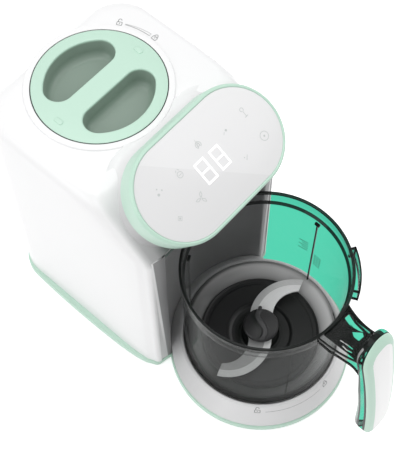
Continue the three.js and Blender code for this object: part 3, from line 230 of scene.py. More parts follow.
def rounded(points, radius, steps=5, closed=False):
    """A polyline whose corners are cut back by radius and bridged by quadratic curves:
    p(t) = (1-t)^2 a + 2t(1-t) corner + t^2 b. radius is one number or one for each corner."""
    p = np.asarray(points, float)
    radii = np.broadcast_to(np.asarray(radius, float), (len(p),))
    t = np.linspace(0, 1, steps + 1)[:, None]
    out = []
    for i, corner in enumerate(p):
        if radii[i] <= 0 or (not closed and i in (0, len(p) - 1)):
            out.append(corner[None])
            continue
        back, ahead = p[i - 1] - corner, p[(i + 1) % len(p)] - corner
        lb, la = np.linalg.norm(back), np.linalg.norm(ahead)
        cut = min(radii[i], 0.48 * lb, 0.48 * la)
        a, b = corner + back / lb * cut, corner + ahead / la * cut
        out.append((1 - t) ** 2 * a + 2 * t * (1 - t) * corner + t ** 2 * b)
    return np.concatenate(out)


def revolved(profile, steps=144, x=0, y=0, closed=True):
    """A profile of (radius, height) rows turned about a vertical axis:
    (x + r cos a, y + r sin a, z). closed joins the profile's last row to its first."""
    profile = np.asarray(profile, float)
    angle = np.linspace(0, 2 * np.pi, steps, endpoint=False)
    r, z = profile[:, :1], profile[:, 1:]
    sections = np.stack([x + r * np.cos(angle), y + r * np.sin(angle), z + 0 * angle], -1)
    return skin(sections, ring=closed, caps=False)


def arc(x, y, radius, start, end, count):
    """Points of an arc: centre + radius (cos a, sin a), a running evenly from start to end in radians."""
    a = np.linspace(start, end, count)
    return np.stack([x + radius * np.cos(a), y + radius * np.sin(a)], -1)


def circle(x, y, radius, count=28):
    """Points round a circle."""
    return arc(x, y, radius, 0, 2 * np.pi, count + 1)[:-1]


def bend(a, control, b, count):
    """A quadratic curve from a to b, drawn towards control."""
    t = np.linspace(0, 1, count)[:, None]
    return (1 - t) ** 2 * np.array(a) + 2 * t * (1 - t) * np.array(control) + t ** 2 * np.array(b)


def line(a, b, count):
    """Evenly spaced points from a to b, without b."""
    return np.linspace(a, b, count + 1)[:-1]


def level(outline, z):
    """A flat outline at a height."""
    return np.column_stack([outline, np.full(len(outline), z)])


def stacked(outline, heights):
    """The same flat outline at several heights."""
    return np.stack([level(outline, z) for z in heights])


def offset(outline, distance):
    """A counter-clockwise outline moved outwards along its point normals by distance."""
    p = np.asarray(outline, float)
    along = np.roll(p, -1, 0) - np.roll(p, 1, 0)
    normal = np.stack([along[:, 1], -along[:, 0]], -1)
    return p + distance * normal / np.linalg.norm(normal, axis=1, keepdims=True)


def smooth(share):
    """A share held between 0 and 1 and eased at both ends: s^2 (3 - 2 s)."""
    s = np.clip(share, 0, 1)
    return s * s * (3 - 2 * s)


def pillow(outline, low, high, edge):
    """A plate over an outline from low to high, its top edge rounded by edge: the outline moves in by
    edge (1 - cos a) while its height falls by edge (1 - sin a)."""
    a = np.linspace(0, np.pi / 2, 5)
    top = [level(offset(outline, -edge * (1 - math.cos(t))), high - edge * (1 - math.sin(t))) for t in a]
    return skin([level(outline, low), *top])


def stadium(half, radius, centre=0.0, count=40):
    """A long outline with round ends, counter-clockwise: two half circles at x = half and -half."""
    return np.concatenate([arc(half, centre, radius, -np.pi / 2, np.pi / 2, count),
                           arc(-half, centre, radius, np.pi / 2, 1.5 * np.pi, count)])


def tower_front(z):
    """Distance of the tower's front face: upright up to 202 mm, then leaning back at 41.4 degrees,
    with a soft turn between the two."""
    slope = (np.asarray(z, float) - LEAN_FROM) / math.tan(LEAN)
    return BAY + 0.5 * (slope + np.sqrt(slope ** 2 + 4))


def tower_outline(z, draw_in=0.0):
    """Plan of the tower at a height, counter-clockwise from the middle of its front: straight front,
    slanted strips, small front corners, sides that bow out, and a back with large round corners.
    The side shrinks by 7 mm and the back by 12 mm as draw_in goes from 0 to 1."""
    front = float(tower_front(z)) + 6 * draw_in
    side = HALF_WIDTH - 0.3 * z / TOP - 7 * draw_in
    back = BACK - 2.5 * z / TOP - 12 * draw_in
    round_back = 30
    strip = (59.5, front)
    seam = (side - 8.9, front + 2.8 - 0.72)
    edge = (side - 4.9, front + 2.8)
    corner = (side - 4.9 + 0.52, front + 2.8 + 4)
    bow, straight = (side - 2.04, front + 12.7), (side, front + 45.6)
    half = np.concatenate([
        line((0, front), strip, 8),
        line(strip, seam, 3),
        bend(seam, edge, corner, 9)[:-1],
        line(corner, bow, 3),
        bend(bow, (side, front + 23.75), straight, 14)[:-1],
        line(straight, (side, back - round_back), 6),
        arc(side - round_back, back - round_back, round_back, 0, np.pi / 2, 20)[:-1],
        line((side - round_back, back), (0, back), 6),
    ])
    left = np.concatenate([[[0, back]], half[1:][::-1] * [-1, 1]])
    return np.concatenate([half, left])


# The outline's point at which the shell's side begins, beside the open front
SEAM_COLUMN = 11


def finger_outline(side, grow, count=48):
    """A finger recess of the lid, counter-clockwise, grown by grow: a straight edge along the bar,
    two round corners, and an arc about the lid's centre."""
    radius, corner = RECESS + grow, RECESS_CORNER + grow
    cy = BAR + RECESS_CORNER
    cx = math.sqrt((radius - corner) ** 2 - cy ** 2)
    angle = math.atan2(cy, cx)
    points = np.concatenate([
        arc(cx, cy, corner, -np.pi / 2, angle, count // 3)[:-1],
        arc(0, 0, radius, angle, np.pi - angle, count)[:-1],
        arc(-cx, cy, corner, np.pi - angle, 1.5 * np.pi, count // 3),
        line((-cx, BAR - grow), (cx, BAR - grow), 10)[1:],
    ])
    return side * points


def grip_reach(z):
    """Distance of the grip's outer face from the bowl's axis: a line from 108.5 to 130.5 mm over the
    share s from the top, bowed out by 16 s (1 - s)."""
    s = (GRIP_HIGH - np.asarray(z, float)) / (GRIP_HIGH - GRIP_LOW)
    return 108.5 + 22 * s + 16 * s * (1 - s)


def grip_widths(z, inset):
    """Half width and half depth of the grip at a height: a slow taper, closed by round ends that are
    17 mm long at the top and 14 mm at the foot."""
    s = (GRIP_HIGH - z) / (GRIP_HIGH - GRIP_LOW)
    top = np.clip(1 - (GRIP_HIGH - inset - z) / (17 - inset), 0, 1)
    foot = np.clip(1 - (z - GRIP_LOW - inset) / (14 - inset), 0, 1)
    close = np.maximum(0.05, np.sqrt(1 - np.maximum(top, foot) ** 2))
    return (18 - 3 * s - inset) * close, GRIP_DEPTH / 2 * np.maximum(0.35, close)


def grip_sections(inset, front, back, proud=0.0, levels=44, count=22):
    """Sections of the grip between two depths below its outer face: a squared oval
    (w |cos a|^0.6, d |sin a|^0.6), cut by a straight chord at each depth."""
    turn = np.linspace(0, np.pi, levels)
    z = GRIP_LOW + inset + (1 - np.cos(turn)) / 2 * (GRIP_HIGH - GRIP_LOW - 2 * inset)
    w, d = grip_widths(z, inset)
    middle = GRIP_DEPTH / 2
    centre = -(grip_reach(z) - middle)

    def chord(depth, half):
        """The oval's angle at a depth below the outer face."""
        share = (middle - depth) / half
        return math.asin(np.clip(abs(share), 0, 1) ** (1 / 0.6)) * np.sign(share)

    sections = []
    for height, across, half, mid in zip(z, w, d, centre):
        a = np.linspace(chord(back, half), chord(front, half), count)
        x = across * np.abs(np.cos(a)) ** 0.6
        y = -(half * np.sign(np.sin(a)) * np.abs(np.sin(a)) ** 0.6) + mid
        y = np.where(y < mid, y - proud, y)
        right = np.column_stack([x, y])[::-1]
        sections.append(level(np.concatenate([right, (right * [-1, 1])[::-1]]), height))
    return np.array(sections)


# Pieces and shader trees


def piece(name, shape, finish, body, nodes=(), sharp=32, faces_finish=None, extra=()):
    """Turns (vertices, faces) into an object that rides on a body and stands for CAD nodes.
    faces_finish picks a further finish for each face, and sharp is the angle of a hard edge."""
    vertices, faces = shape
    mesh = bpy.data.meshes.new(name)
    mesh.from_pydata(placed(vertices).tolist(), [], faces)
    mesh.validate()
    for made in (finish, *extra):
        mesh.materials.append(made)
    if faces_finish is not None:
        mesh.polygons.foreach_set("material_index", np.asarray(faces_finish, np.int32))
    tidy = bmesh.new()
    tidy.from_mesh(mesh)
    bmesh.ops.remove_doubles(tidy, verts=tidy.verts, dist=2e-6)
    tidy.to_mesh(mesh)
    tidy.free()
    mesh.polygons.foreach_set("use_smooth", np.ones(len(mesh.polygons), bool))
    mesh.set_sharp_from_angle(angle=math.radians(sharp))
    thing = bpy.data.objects.new(name, mesh)
    bpy.context.scene.collection.objects.link(thing)
    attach(thing, body)
    if nodes:
        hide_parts(*nodes)
    return thing


def carved(thing, cutters, wall=0.0, sharp=32):
    """Gives the object a wall inwards, then takes the cutters, which are (vertices, faces), out of it."""
    if wall:
        shell = thing.modifiers.new("wall", "SOLIDIFY")
        shell.thickness = wall / 1000
        shell.offset = -1
    made = []
    for shape in cutters:
        mesh = bpy.data.meshes.new("cutter")
        mesh.from_pydata(placed(shape[0]).tolist(), [], shape[1])
        cutter = bpy.data.objects.new("cutter", mesh)
        bpy.context.scene.collection.objects.link(cutter)
        made.append(cutter)
        taken = thing.modifiers.new("cut", "BOOLEAN")
        taken.operation = "DIFFERENCE"
        taken.solver = "EXACT"
        taken.object = cutter
    bpy.context.view_layer.update()
    final = bpy.data.meshes.new_from_object(thing.evaluated_get(bpy.context.evaluated_depsgraph_get()))
    thing.modifiers.clear()
    thing.data = final
    for cutter in made:
        bpy.data.objects.remove(cutter)
    final.polygons.foreach_set("use_smooth", np.ones(len(final.polygons), bool))
    final.set_sharp_from_angle(angle=math.radians(sharp))
    return thing


def both_ways(operation):
    """An operator that adds a Math node, and its reflected form, for a number on its left."""

    def straight(self, other):
        return self.math(operation, self, other)

    def reflected(self, other):
        return self.math(operation, other, self)

    return straight, reflected


class Wire:
    """A node's output whose arithmetic adds Math nodes to its finish."""

    __add__, __radd__ = both_ways("ADD")
    __sub__, __rsub__ = both_ways("SUBTRACT")
    __mul__, __rmul__ = both_ways("MULTIPLY")
    __truediv__, __rtruediv__ = both_ways("DIVIDE")
    __pow__, __rpow__ = both_ways("POWER")
    __gt__, __lt__ = both_ways("GREATER_THAN")

    def __init__(self, finish, socket):
        self.finish = finish
        self.socket = socket

    def math(self, operation, *values):
        """A Math node over values and wires."""
        return self.finish.node("Math", {"operation": operation}, *values)

    def __abs__(self):
        return self.math("ABSOLUTE", self)

    def sine(self):
        """The sine of a value in radians."""
        return self.math("SINE", self)

    def least(self, other):
        """The smaller of two values."""
        return self.math("MINIMUM", self, other)

    def most(self, other):
        """The larger of two values."""
        return self.math("MAXIMUM", self, other)


class Finish:
    """A material or a world under construction: node() adds any node and links what it is given."""

    def __init__(self, owner, output="OutputMaterial"):
        self.owner = owner
        owner.use_nodes = True
        self.tree = owner.node_tree
        self.tree.nodes.clear()
        self.output = self.tree.nodes.new("ShaderNode" + output)

    def node(self, kind, settings=None, *values, out=0, **sockets):
        """Adds a node of a kind, applies its settings, then feeds its sockets with values or wires."""
        made = self.tree.nodes.new("ShaderNode" + kind)
        for key, value in (settings or {}).items():
            setattr(made, key, value)
        named = {key.replace("_", " "): value for key, value in sockets.items()}
        for key, value in [*enumerate(values), *named.items()]:
            socket = made.inputs[key]
            if isinstance(value, Wire):
                self.tree.links.new(value.socket, socket)
            elif value is not None:
                socket.default_value = value
        return Wire(self, made.outputs[out])

    def place(self, stretch=(1, 1, 1)):
        """Object coordinates, stretched along the axes."""
        return self.node("Mapping", None, self.node("TexCoord", out="Object"), Scale=stretch)

    def spot(self):
        """The model's x, y and z in millimetres, from Object coordinates."""
        at = self.node("TexCoord", out="Object")
        x, y, z = (self.node("SeparateXYZ", None, at, out=axis) * 1000 for axis in "XYZ")
        return x, y - AXIS_Y, z

    def noise(self, scale, detail=3.0, rough=0.5, stretch=(1, 1, 1)):
        """Noise over Object coordinates."""
        return self.node("TexNoise", None, Vector=self.place(stretch), Scale=scale, Detail=detail,
                         Roughness=rough)

    def slow(self):
        """The slow drift of moulded plastic, over some centimetres."""
        return self.noise(14, 2)

    def blend(self, share, first, second):
        """A colour between two, by share. The Mix node's colours are its seventh and eighth socket."""
        return self.node("Mix", {"data_type": "RGBA"}, share, *[None] * 5, first, second, out=2)

    def bump(self, height, strength, distance):
        """A normal from a height, distance in metres."""
        return self.node("Bump", None, Strength=strength, Distance=distance, Height=height)

    def grain(self, scale=1400, depth=0.00003):
        """The fine spark-eroded grain of moulded plastic, as a normal; its depth is in metres."""
        return self.bump(self.noise(scale, 2, 0.6), 0.35, depth)

    def close(self, shader):
        """Connects the last shader and hands back the material or world."""
        self.tree.links.new(shader.socket, self.output.inputs["Surface"])
        return self.owner

    def surface(self, shade, rough, **sockets):
        """Closes the material with a Principled shader of a colour, a roughness and further sockets."""
        return self.close(self.node("BsdfPrincipled", None, Base_Color=shade, Roughness=rough, **sockets))


def ramp(value, width):
    """A share that rises from 0 to 1 as a value goes from 0 to width."""
    return (value / width).least(1).most(0)


def from_axis(x, y):
    """Distance from a vertical axis."""
    return (x * x + y * y) ** 0.5


def dimmed(colour_value, share):
    """A colour with its three parts times a share."""
    return tuple(c * share for c in colour_value[:3]) + (1,)


MADE = {}


def finish(build):
    """Makes a finish of a function that dresses a Finish: called by the material's name and further values,
    it is built once for each name. Without a name it takes the function's own."""

    def ready(name=build.__name__, *values, **named):
        if name not in MADE:
            MADE[name] = build(Finish(bpy.data.materials.new(name)), *values, **named)
        return MADE[name]

    return ready


@finish
def moulded(f, colour_name, roughness, grain=0.00003, coat=0.0, drift=0.03, scale=1400):
    """Moulded plastic: a fine grain in the normal, a slow drift of colour and of gloss."""
    base = tint(colour_name)
    shade = f.blend(f.slow(), dimmed(base, 1 - drift), base)
    rough = roughness + (f.noise(60, 3) - 0.5) * 0.08
    return f.surface(shade, rough, Coat_Weight=coat, Coat_Roughness=0.12, Normal=f.grain(scale, grain))


def satin_white(name, colour_name="white"):
    """Satin white plastic."""
    return moulded(name, colour_name, 0.34, coat=0.15, drift=0.012)


def mint_plastic():
    """Satin mint."""
    return moulded("mint_plastic", "mint", 0.38, coat=0.1, drift=0.025)


def dark_plastic():
    """Dark grey of the hub."""
    return moulded("dark_plastic", "dark", 0.34, grain=0.00001, coat=0.1, drift=0.12, scale=2500)


@finish
def shell_plastic(f, more=0.0):
    """White of the tower and neck, with painted shade: the slope under the panel's rim falls off to grey
    towards its low edge, the neck is greyer by more on its low side, and a painted shadow darkens the shell's
    low front corner."""
    x, y, z = f.spot()
    wide = abs(x)
    # Painted shade on the slope under the panel's rim, deepest towards its low edge
    slope = ramp(104 - y, 52) ** 1.2 * ramp(76 - wide, 7) * ramp(z - 196, 6)
    # Painted shadow at the shell's low front corner, just above the cover's roof
    corner = ramp(64 - wide, 9) * ramp(62 - y, 6) * ramp(216 - z, 8)
    shade = f.blend(f.slow(), dimmed(tint("white"), 0.988), tint("white"))
    shade = f.blend(slope * 0.72, shade, tint("under_rim_shade"))
    # Painted shade on the neck's low side
    shade = f.blend(ramp(120 - y, 24) * more, shade, tint("under_rim_shade"))
    shade = f.blend(corner * 0.85, shade, tint("gap"))
    rough = 0.34 + (f.noise(60, 3) - 0.5) * 0.08
    return f.surface(shade, rough, Coat_Weight=0.15, Coat_Roughness=0.12, Normal=f.grain())


@finish
def deck_plastic(f):
    """The deck's white, set a shade greyer than the tower's as painted shade, with more painted shade in the
    corner beside the cover.
    """
    x, y = f.spot()[:2]
    slow = f.slow()
    # Painted shade in the deck's corner beside the cover
    corner = ramp(y + 20, 60) * ramp(-10 - x, 30)
    shade = f.blend(slow, dimmed(tint("deck"), 0.988), tint("deck"))
    shade = f.blend(corner * 0.6, shade, tint("under_rim_shade"))
    return f.surface(shade, 0.3 + slow * 0.08, Coat_Weight=0.15, Coat_Roughness=0.12, Normal=f.grain())


@finish
def grey_plastic(f):
    """The cover's grey, painted with light and shade: darker towards its sides, painted light on the outer
    part of the two strips, which narrows upwards, grows lighter higher up and has a painted highlight along
    its inner edge, painted light on the roof beside the strips and a painted shadow along the roof's front
    edge."""
    x, y, z = f.spot()
    wide = abs(x)
    slow = f.slow()
    shade = f.blend(slow, dimmed(tint("grey"), 0.96), tint("grey"))
    # Painted shade towards the cover's sides and on the inner part of the strips, lifted a little towards
    # their outer part
    shade = f.blend(ramp(wide - 34, 26) * 0.5, shade, tint("strip_low"))
    shade = f.blend(ramp(wide - 59.9, 0.5), shade, tint("strip_low"))
    shade = f.blend(ramp(wide - 61, 5) * 0.2, shade, tint("strip"))
    # Painted light on the outer part of the strips, lighter higher up
    outer = wide - 63.4 - z * 0.03
    bright = f.blend(ramp(z - 60, 70) * 0.35, tint("strip"), (0.93, 0.93, 0.93, 1))
    shade = f.blend(ramp(outer, 0.7), shade, bright)
    # A painted highlight along the inner edge of that outer part
    glint = ramp(1.4 - abs(outer - 1.4), 0.8) * ramp(z - 30, 60) * ramp(LEAN_FROM - z, 1)
    shade = f.blend(glint * 0.8, shade, (1, 1, 1, 1))
    # Painted light on the roof's top, most beside the strips
    roof = ramp(z - 202.4, 0.2) * (ramp(wide - 64, 2) * 0.75 + 0.25)
    shade = f.blend(roof, shade, tint("strip"))
    # A painted shadow along the roof's front edge
    roof_edge_shadow = ramp(51.7 - y, 0.3) * ramp(z - 199.8, 0.2) * ramp(60 - wide, 1)
    shade = f.blend(roof_edge_shadow, shade, tint("gap"))
    return f.surface(shade, 0.4 + slow * 0.06, Specular_IOR_Level=0.25, Normal=f.grain())


@finish
def lid_plastic(f):
    """The lid's mint, with painted shade: a deeper grey green down in the recesses, and a painted shadow down
    in the gap round the edge.
    """
    x, y, z = f.spot()
    # Painted shade down in the recesses, and a painted shadow down in the gap round the lid's edge
    sunk_shade = ramp(244.6 - z, 1.8)
    in_gap_shadow = from_axis(x, y - LID_Y) > 51.95
    shade = f.blend(f.slow(), dimmed(tint("mint"), 0.975), tint("mint"))
    shade = f.blend(sunk_shade, shade, tint("mint_recess_shade"))
    shade = f.blend(in_gap_shadow, shade, tint("gap"))
    rough = 0.36 + f.noise(60, 3) * 0.06
    return f.surface(shade, rough, Coat_Weight=0.1, Coat_Roughness=0.12, Normal=f.grain())


@finish
def clear_plastic(f, solid_share, body_colour, edge_share=0.75, edge_power=3, gloss=0.35):
    """Clear smoke plastic: light passes tinted; the share that is held back and reflected starts at
    solid_share and grows with the facing angle as edge_share facing^edge_power, and darkens too."""
    through = f.node("BsdfTransparent", None, Color=tint("smoke"))
    facing = f.node("LayerWeight", None, Blend=0.25, out="Facing")
    solid = body_colour(f) if callable(body_colour) else body_colour
    shade = f.blend((facing ** 2 * 1.4).least(1), solid, tint("smoke_edge"))
    body = f.node("BsdfPrincipled", None, Base_Color=shade, Roughness=0.06 + f.noise(22, 2) * 0.05,
                  Specular_IOR_Level=gloss)
    share = (solid_share + facing ** edge_power * edge_share).least(1)
    return f.close(f.node("MixShader", None, share, through, body))


def foot_painted_light(f):
    """The hazy foot's grey, painted with light and shade: light at the outer edge towards -10 degrees, darker
    inwards and opposite.
    """
    x, y = f.spot()[:2]
    far = from_axis(x, y)
    heading = math.radians(-10)
    side = ((x * math.cos(heading) + y * math.sin(heading)) / far * 0.5 + 0.5).most(0)
    light = side ** 1.8 * (ramp(far - 51, 11) * 0.75 + 0.25)
    return f.blend(light, (0.11, 0.11, 0.11, 1), (1, 1, 1, 1))


def bowl_finishes():
    """The bowl's finishes, in the order of the numbers CLEAR, EDGE, HAZE and FOOT."""
    return [clear_plastic("smoke_clear", 0.035, (0.2, 0.205, 0.202, 1)),
            clear_plastic("smoke_rim", 0.96, tint("smoke_edge"), gloss=0.12),
            clear_plastic("smoke_collar", 0.05, (0.03, 0.033, 0.032, 1), edge_share=2.2),
            clear_plastic("smoke_foot", 0.84, foot_painted_light, edge_share=0.15)]


@finish
def floor_plastic(f):
    """The bowl's dark floor with painted shade: black round the hub and darker on its right, with a faint
    painted highlight ring on its left.
    """
    x, y = f.spot()[:2]
    far = from_axis(x, y)
    slow = f.slow()
    left = (y * 0.751 - x * 0.66) / far
    shade = f.blend(slow, dimmed(tint("dark"), 0.9), dimmed(tint("dark"), 1.05))
    # Painted shade: black round the hub
    shade = f.blend(ramp(23 - far, 1.5), shade, tint("smoke_edge"))
    # Painted shade on the side away from the left
    shade = f.blend(ramp(0.5 - left, 1.2) * 0.75, shade, tint("smoke_edge"))
    # A painted highlight ring on the left
    ring = ramp(1.6 - abs(far - 26.2), 1) * left.most(0) ** 3
    shade = f.blend(ring, shade, (0.13, 0.13, 0.13, 1))
    return f.surface(shade, 0.34 + slow * 0.08, Specular_IOR_Level=0.25, Normal=f.grain(2500, 0.00001))


@finish
def hub_plastic(f):
    """The cap's dark plastic, with a painted highlight along its S-shaped ridge and a painted shadow on one
    side of it.
    """
    x, y, z = f.spot()
    across = x * math.sin(RIDGE) - y * math.cos(RIDGE)
    along = x * math.cos(RIDGE) + y * math.sin(RIDGE)
    beside = across + (along * (math.pi / RIDGE_HALF)).sine() * RIDGE_SWING
    on_top = ramp(z - 44, 1) * ramp(14.8 - from_axis(x, y), 1)
    # A painted shadow on one side of the ridge, and a painted highlight along it
    shadow = ramp(2.4 - abs(beside + 3.9), 1.4) * on_top
    ridge = ramp(2.5 - abs(beside), 0.8) * on_top
    shade = f.blend(f.slow(), dimmed(tint("dark"), 0.8), dimmed(tint("dark"), 1.0))
    shade = f.blend(shadow * 0.8, shade, tint("smoke_edge"))
    shade = f.blend(ridge, shade, dimmed(tint("dark"), 2.3))
    return f.surface(shade, 0.4 + f.noise(60, 3) * 0.05, Normal=f.grain(2500, 0.00001))


@finish
def steel(f, share):
    """Brushed steel: streaks along the blade in colour and in gloss, its colour times a share that paints
    light and shade on the blades.
    """
    streak = f.noise(700, 4, 0.6, stretch=(0.1, 1, 1))
    shade = f.blend(streak, dimmed(tint("steel"), 0.9 * share), dimmed(tint("steel"), share))
    return f.surface(shade, 0.3 + streak * 0.12, Metallic=0.05)


@finish
def ground_steel(f):
    """The ground edge of a blade: finer and a little darker."""
    streak = f.noise(1200, 2, 0.5, stretch=(1, 0.1, 1))
    shade = f.blend(streak, dimmed(tint("steel"), 0.64), dimmed(tint("steel"), 0.76))
    return f.surface(shade, 0.26 + streak * 0.08, Metallic=0.3)


@finish
def plain(f, colour_value, roughness, metallic=0.0, grain=600, drift=0.15):
    """A finish of an inner piece: colour and gloss drift with noise, which is a faint bump too."""
    patch = f.noise(grain, 3)
    shade = f.blend(patch, dimmed(colour_value, 1 - drift), dimmed(colour_value, 1))
    return f.surface(shade, roughness + patch * 0.1, Metallic=metallic, Normal=f.bump(patch, 0.1, 0.00003))


@finish
def circuit_board(f):
    """Green board: copper tracks as thin lines of a brick pattern under the varnish."""
    bricks = f.node("TexBrick", None, Vector=f.place(), Scale=180.0, Mortar_Size=0.03,
                    Color1=(0.02, 0.13, 0.06, 1), Color2=(0.025, 0.16, 0.075, 1),
                    Mortar=(0.09, 0.24, 0.09, 1))
    return f.surface(bricks, 0.35, Coat_Weight=0.3)


@finish
def panel_glass(f):
    """Back-printed glass: pale grey under a glossy face, with a painted reflection that leaves it a shade
    deeper below a slanting line.
    """
    x, y = f.spot()[:2]
    up = (y - PANEL[0]) / math.cos(TILT)
    # Painted reflection: the line between a lighter and a deeper tone
    above = ramp(x * 1.4 + up * 1.42 + 11, 1)
    shade = f.blend(above, dimmed(tint("glass"), 0.955), tint("glass"))
    return f.surface(shade, 0.16 + f.noise(40, 2) * 0.04, Specular_IOR_Level=0.4)


def printed():
    """Printed signs: slightly uneven ink."""
    return plain("printed_grey", tint("print_grey"), 0.5, grain=2500, drift=0.1)


@finish
def lit_segment(f):
    """Lit display segments: a white light, a little weaker between its lamps."""
    glow = 0.96 + f.noise(500, 1) * 0.08
    emit = f.blend(glow, (0.9, 0.9, 0.9, 1), tint("light"))
    return f.surface((0.9, 0.9, 0.9, 1), 0.4, Emission_Color=emit, Emission_Strength=0.35)


# Tower


def make_housing():
    """The white shell: tower outlines stacked, its top edge an ellipse of 9 mm height, open in front
    below the roof, with round holes for the lid's collar and the mains inlet."""
    beside_bay = [SHELL_LOW, 12, 60, 120, 170, 194, ROOF]
    edge = 9
    levels = [level(tower_outline(z), z) for z in [*beside_bay, *np.linspace(205, 234, 12)]]
    for t in np.linspace(0, np.pi / 2, 12):
        z = TOP - edge * (1 - math.sin(t))
        levels.append(level(tower_outline(z, 1 - math.cos(t)), z))
    sections = np.array(levels)
    rows, columns = sections.shape[:2]
    keep = np.ones((rows - 1, columns), bool)
    opened = len(beside_bay) - 1
    keep[:opened, :SEAM_COLUMN] = False
    keep[:opened, columns - SEAM_COLUMN:] = False
    vertices, faces = skin(sections, keep=keep)
    shell = piece("tower_shell", (vertices, faces[:-2] + [faces[-1]]), shell_plastic(), "base",
                  ["tower_housing"])
    collar = revolved([[0, 234.4], [COLLAR, 234.4], [COLLAR, 260], [0, 260]], 160, 0, LID_Y, closed=False)
    inlet_x, inlet_z = 44, 28
    x, z = stadium(4.5, 8.3, 0, 16).T
    inlet = [np.stack([inlet_x + x, 0 * x + y, inlet_z + z], -1) for y in (BACK + 6, BACK - 25)]
    return carved(shell, [collar, skin(inlet)], wall=2.5)


def make_cover():
    """The concave grey cover: an arc about the bowl with two slanted strips, and its roof."""
    outer = math.asin((BAY + 2.5) / COVER_BACK)
    inner = math.asin(BAY / COVER) + 0.06
    strip = rounded([[COVER * math.cos(inner), COVER * math.sin(inner)], [59.67, BAY], [70.8, 53.8],
                     [70.8, 56.3]], [0, 1.6, 0.8, 0], 5)
    wall = np.concatenate([strip, arc(0, 0, COVER_BACK, outer, np.pi - outer, 80), (strip * [-1, 1])[::-1],
                           arc(0, 0, COVER, np.pi - inner, inner, 80)[1:-1]])
    roof_radius = COVER_BACK - 0.3
    half = math.acos(BAY / roof_radius)
    roof = arc(0, 0, roof_radius, np.pi / 2 - half, np.pi / 2 + half, 60)
    shape = merged(skin(stacked(wall, [SHELL_LOW, 60, 120, 200, ROOF])), skin(stacked(roof, [200, ROOF])))
    return piece("bowl_cover", shape, grey_plastic(), "base", ["front_cover"])


def make_tray():
    """The mint tray: the deck's circle joined with the tower's plan, whose sides bulge by a power of a
    sine, its edges rounded, hollowed from above, with slots under the motor and holes for four screws."""
    plan = tower_outline(0)
    join = math.asin((BAY + 0.1) / HALF_WIDTH)
    deck = arc(0, 0, HALF_WIDTH, np.pi - join, 2 * np.pi + join, 100)
    outline = np.concatenate([deck, plan[plan[:, 1] > BAY + 0.2]])
    x, y = outline.T
    along = np.clip((y - 53) / (226 - 53), 0, 1)
    bulge = mm("tray_flange") * np.sin(np.pi * along) ** 0.6 * np.clip((np.abs(x) - 50) / 25, 0, 1)
    flared = outline + np.stack([np.sign(x) * bulge, 0 * bulge], -1)
    edges = [(0.9, 2.3), (0.3, 2.6), (0, 3.2), (0, 8.5), (0.25, 9.1), (0.7, 9.3)]
    sections = [level(offset(flared, -inward), z) for inward, z in edges]
    tray = piece("foot_tray", skin(sections), mint_plastic(), "base", ["chassis_tray"])
    cutters = [skin(stacked(offset(outline, -2.5), [4.3, 12]))]
    through = [0, 6]
    box = np.array([[-18, -1.5], [18, -1.5], [18, 1.5], [-18, 1.5]])
    for i in range(7):
        slot = rounded(box, 1.4, 4, closed=True) + [0, 118 + (i - 3) * 8]
        cutters.append(skin(stacked(slot, through)))
    for side in (-1, 1):
        for screw_y in (100, 186):
            cutters.append(skin(stacked(circle(side * 74, screw_y, 1.9, 24), through)))
    return carved(tray, cutters)


def make_deck():
    """The sloping white deck: its section turned about the bowl's axis, drawn in behind to fit the cover,
    and filled up there along a straight slope, eased in over 22 mm."""
    profile = rounded([
        [8.3, 10.8], [23.2, 10.8], [23.2, 22.2], [69.4, 22.2], [68.9, 31.5], [75.7, 11.6], [75.7, 9.6],
        [78.7, 9.6], [78.2, 11.8], [70.5, 34], [68.8, 35], [67.9, 35], [67.2, 34.3], [67.2, 24.4],
        [21, 24.4], [21, 13], [8.3, 13]],
        [0, 0, 0, 0, 0, 0, 0, 0.4, 1.6, 1.4, 0.6, 0.5, 0.6, 2, 1, 2, 0], 5, closed=True)
    vertices, faces = revolved(profile, 200)
    fit = COVER - 0.15
    radius = np.hypot(vertices[:, 0], vertices[:, 1])
    behind = (vertices[:, 1] > BAY - 0.5) & (radius > fit)
    vertices[behind, :2] *= (fit / radius[behind])[:, None]
    radius = np.minimum(radius, fit)
    slope = (radius > 70.6) & (vertices[:, 2] > 11)
    fill = 34 - (radius - 70.5) * 1.1
    raised = smooth((vertices[:, 1] - 36) / 22)
    vertices[slope, 2] += (np.maximum(fill - vertices[:, 2], 0) * raised)[slope]
    return piece("bowl_deck", (vertices, faces), deck_plastic(), "base", ["base_deck"])


# Touch panel


def make_neck():
    """The white neck: outlines with round ends that flare as a quarter ellipse from the panel's rim
    down to the tower, its low end cut level with the roof, with room for the lid's collar."""
    share = np.linspace(0, 1, 20)
    flare = 1 - np.sqrt(1 - share ** 2)
    levels = [level(stadium(PANEL_HALF + 3 * f, 37.2 + 3.6 * f, 7 * f, 44), -21.6 - 16 * s)
              for s, f in [*zip(share, flare), (1.5, 1.0)]]
    neck = piece("panel_neck", skin(tilted(np.array(levels)[::-1])), shell_plastic("neck_plastic", 0.3),
                 "base", ["head_neck"])
    below_roof = np.array([[-90, 0], [90, 0], [90, 300], [-90, 300]], float)
    lid_room = circle(0, LID_Y, COLLAR, 144)
    return carved(neck, [skin(stacked(below_roof, [150, ROOF + 0.2])), skin(stacked(lid_room, [190, 300]))])


def make_bezel():
    """The mint rim: a closed section (radius, height) carried round the panel's long outline."""
    profile = rounded([[34, -21.5], [40.4, -21.5], [40.4, -1.9], [38.9, 0], [37.9, 0], [37.35, -0.6],
                       [PANE, -3.1], [34, -3.1]], [0, 1.2, 1.5, 0.6, 0.4, 0.2, 0, 0], 5, closed=True)
    sections = np.array([level(stadium(PANEL_HALF, r, 0, 60), n) for r, n in profile])
    return piece("panel_rim", skin(tilted(sections), ring=True), mint_plastic(), "base",
                 ["panel_bezel"])


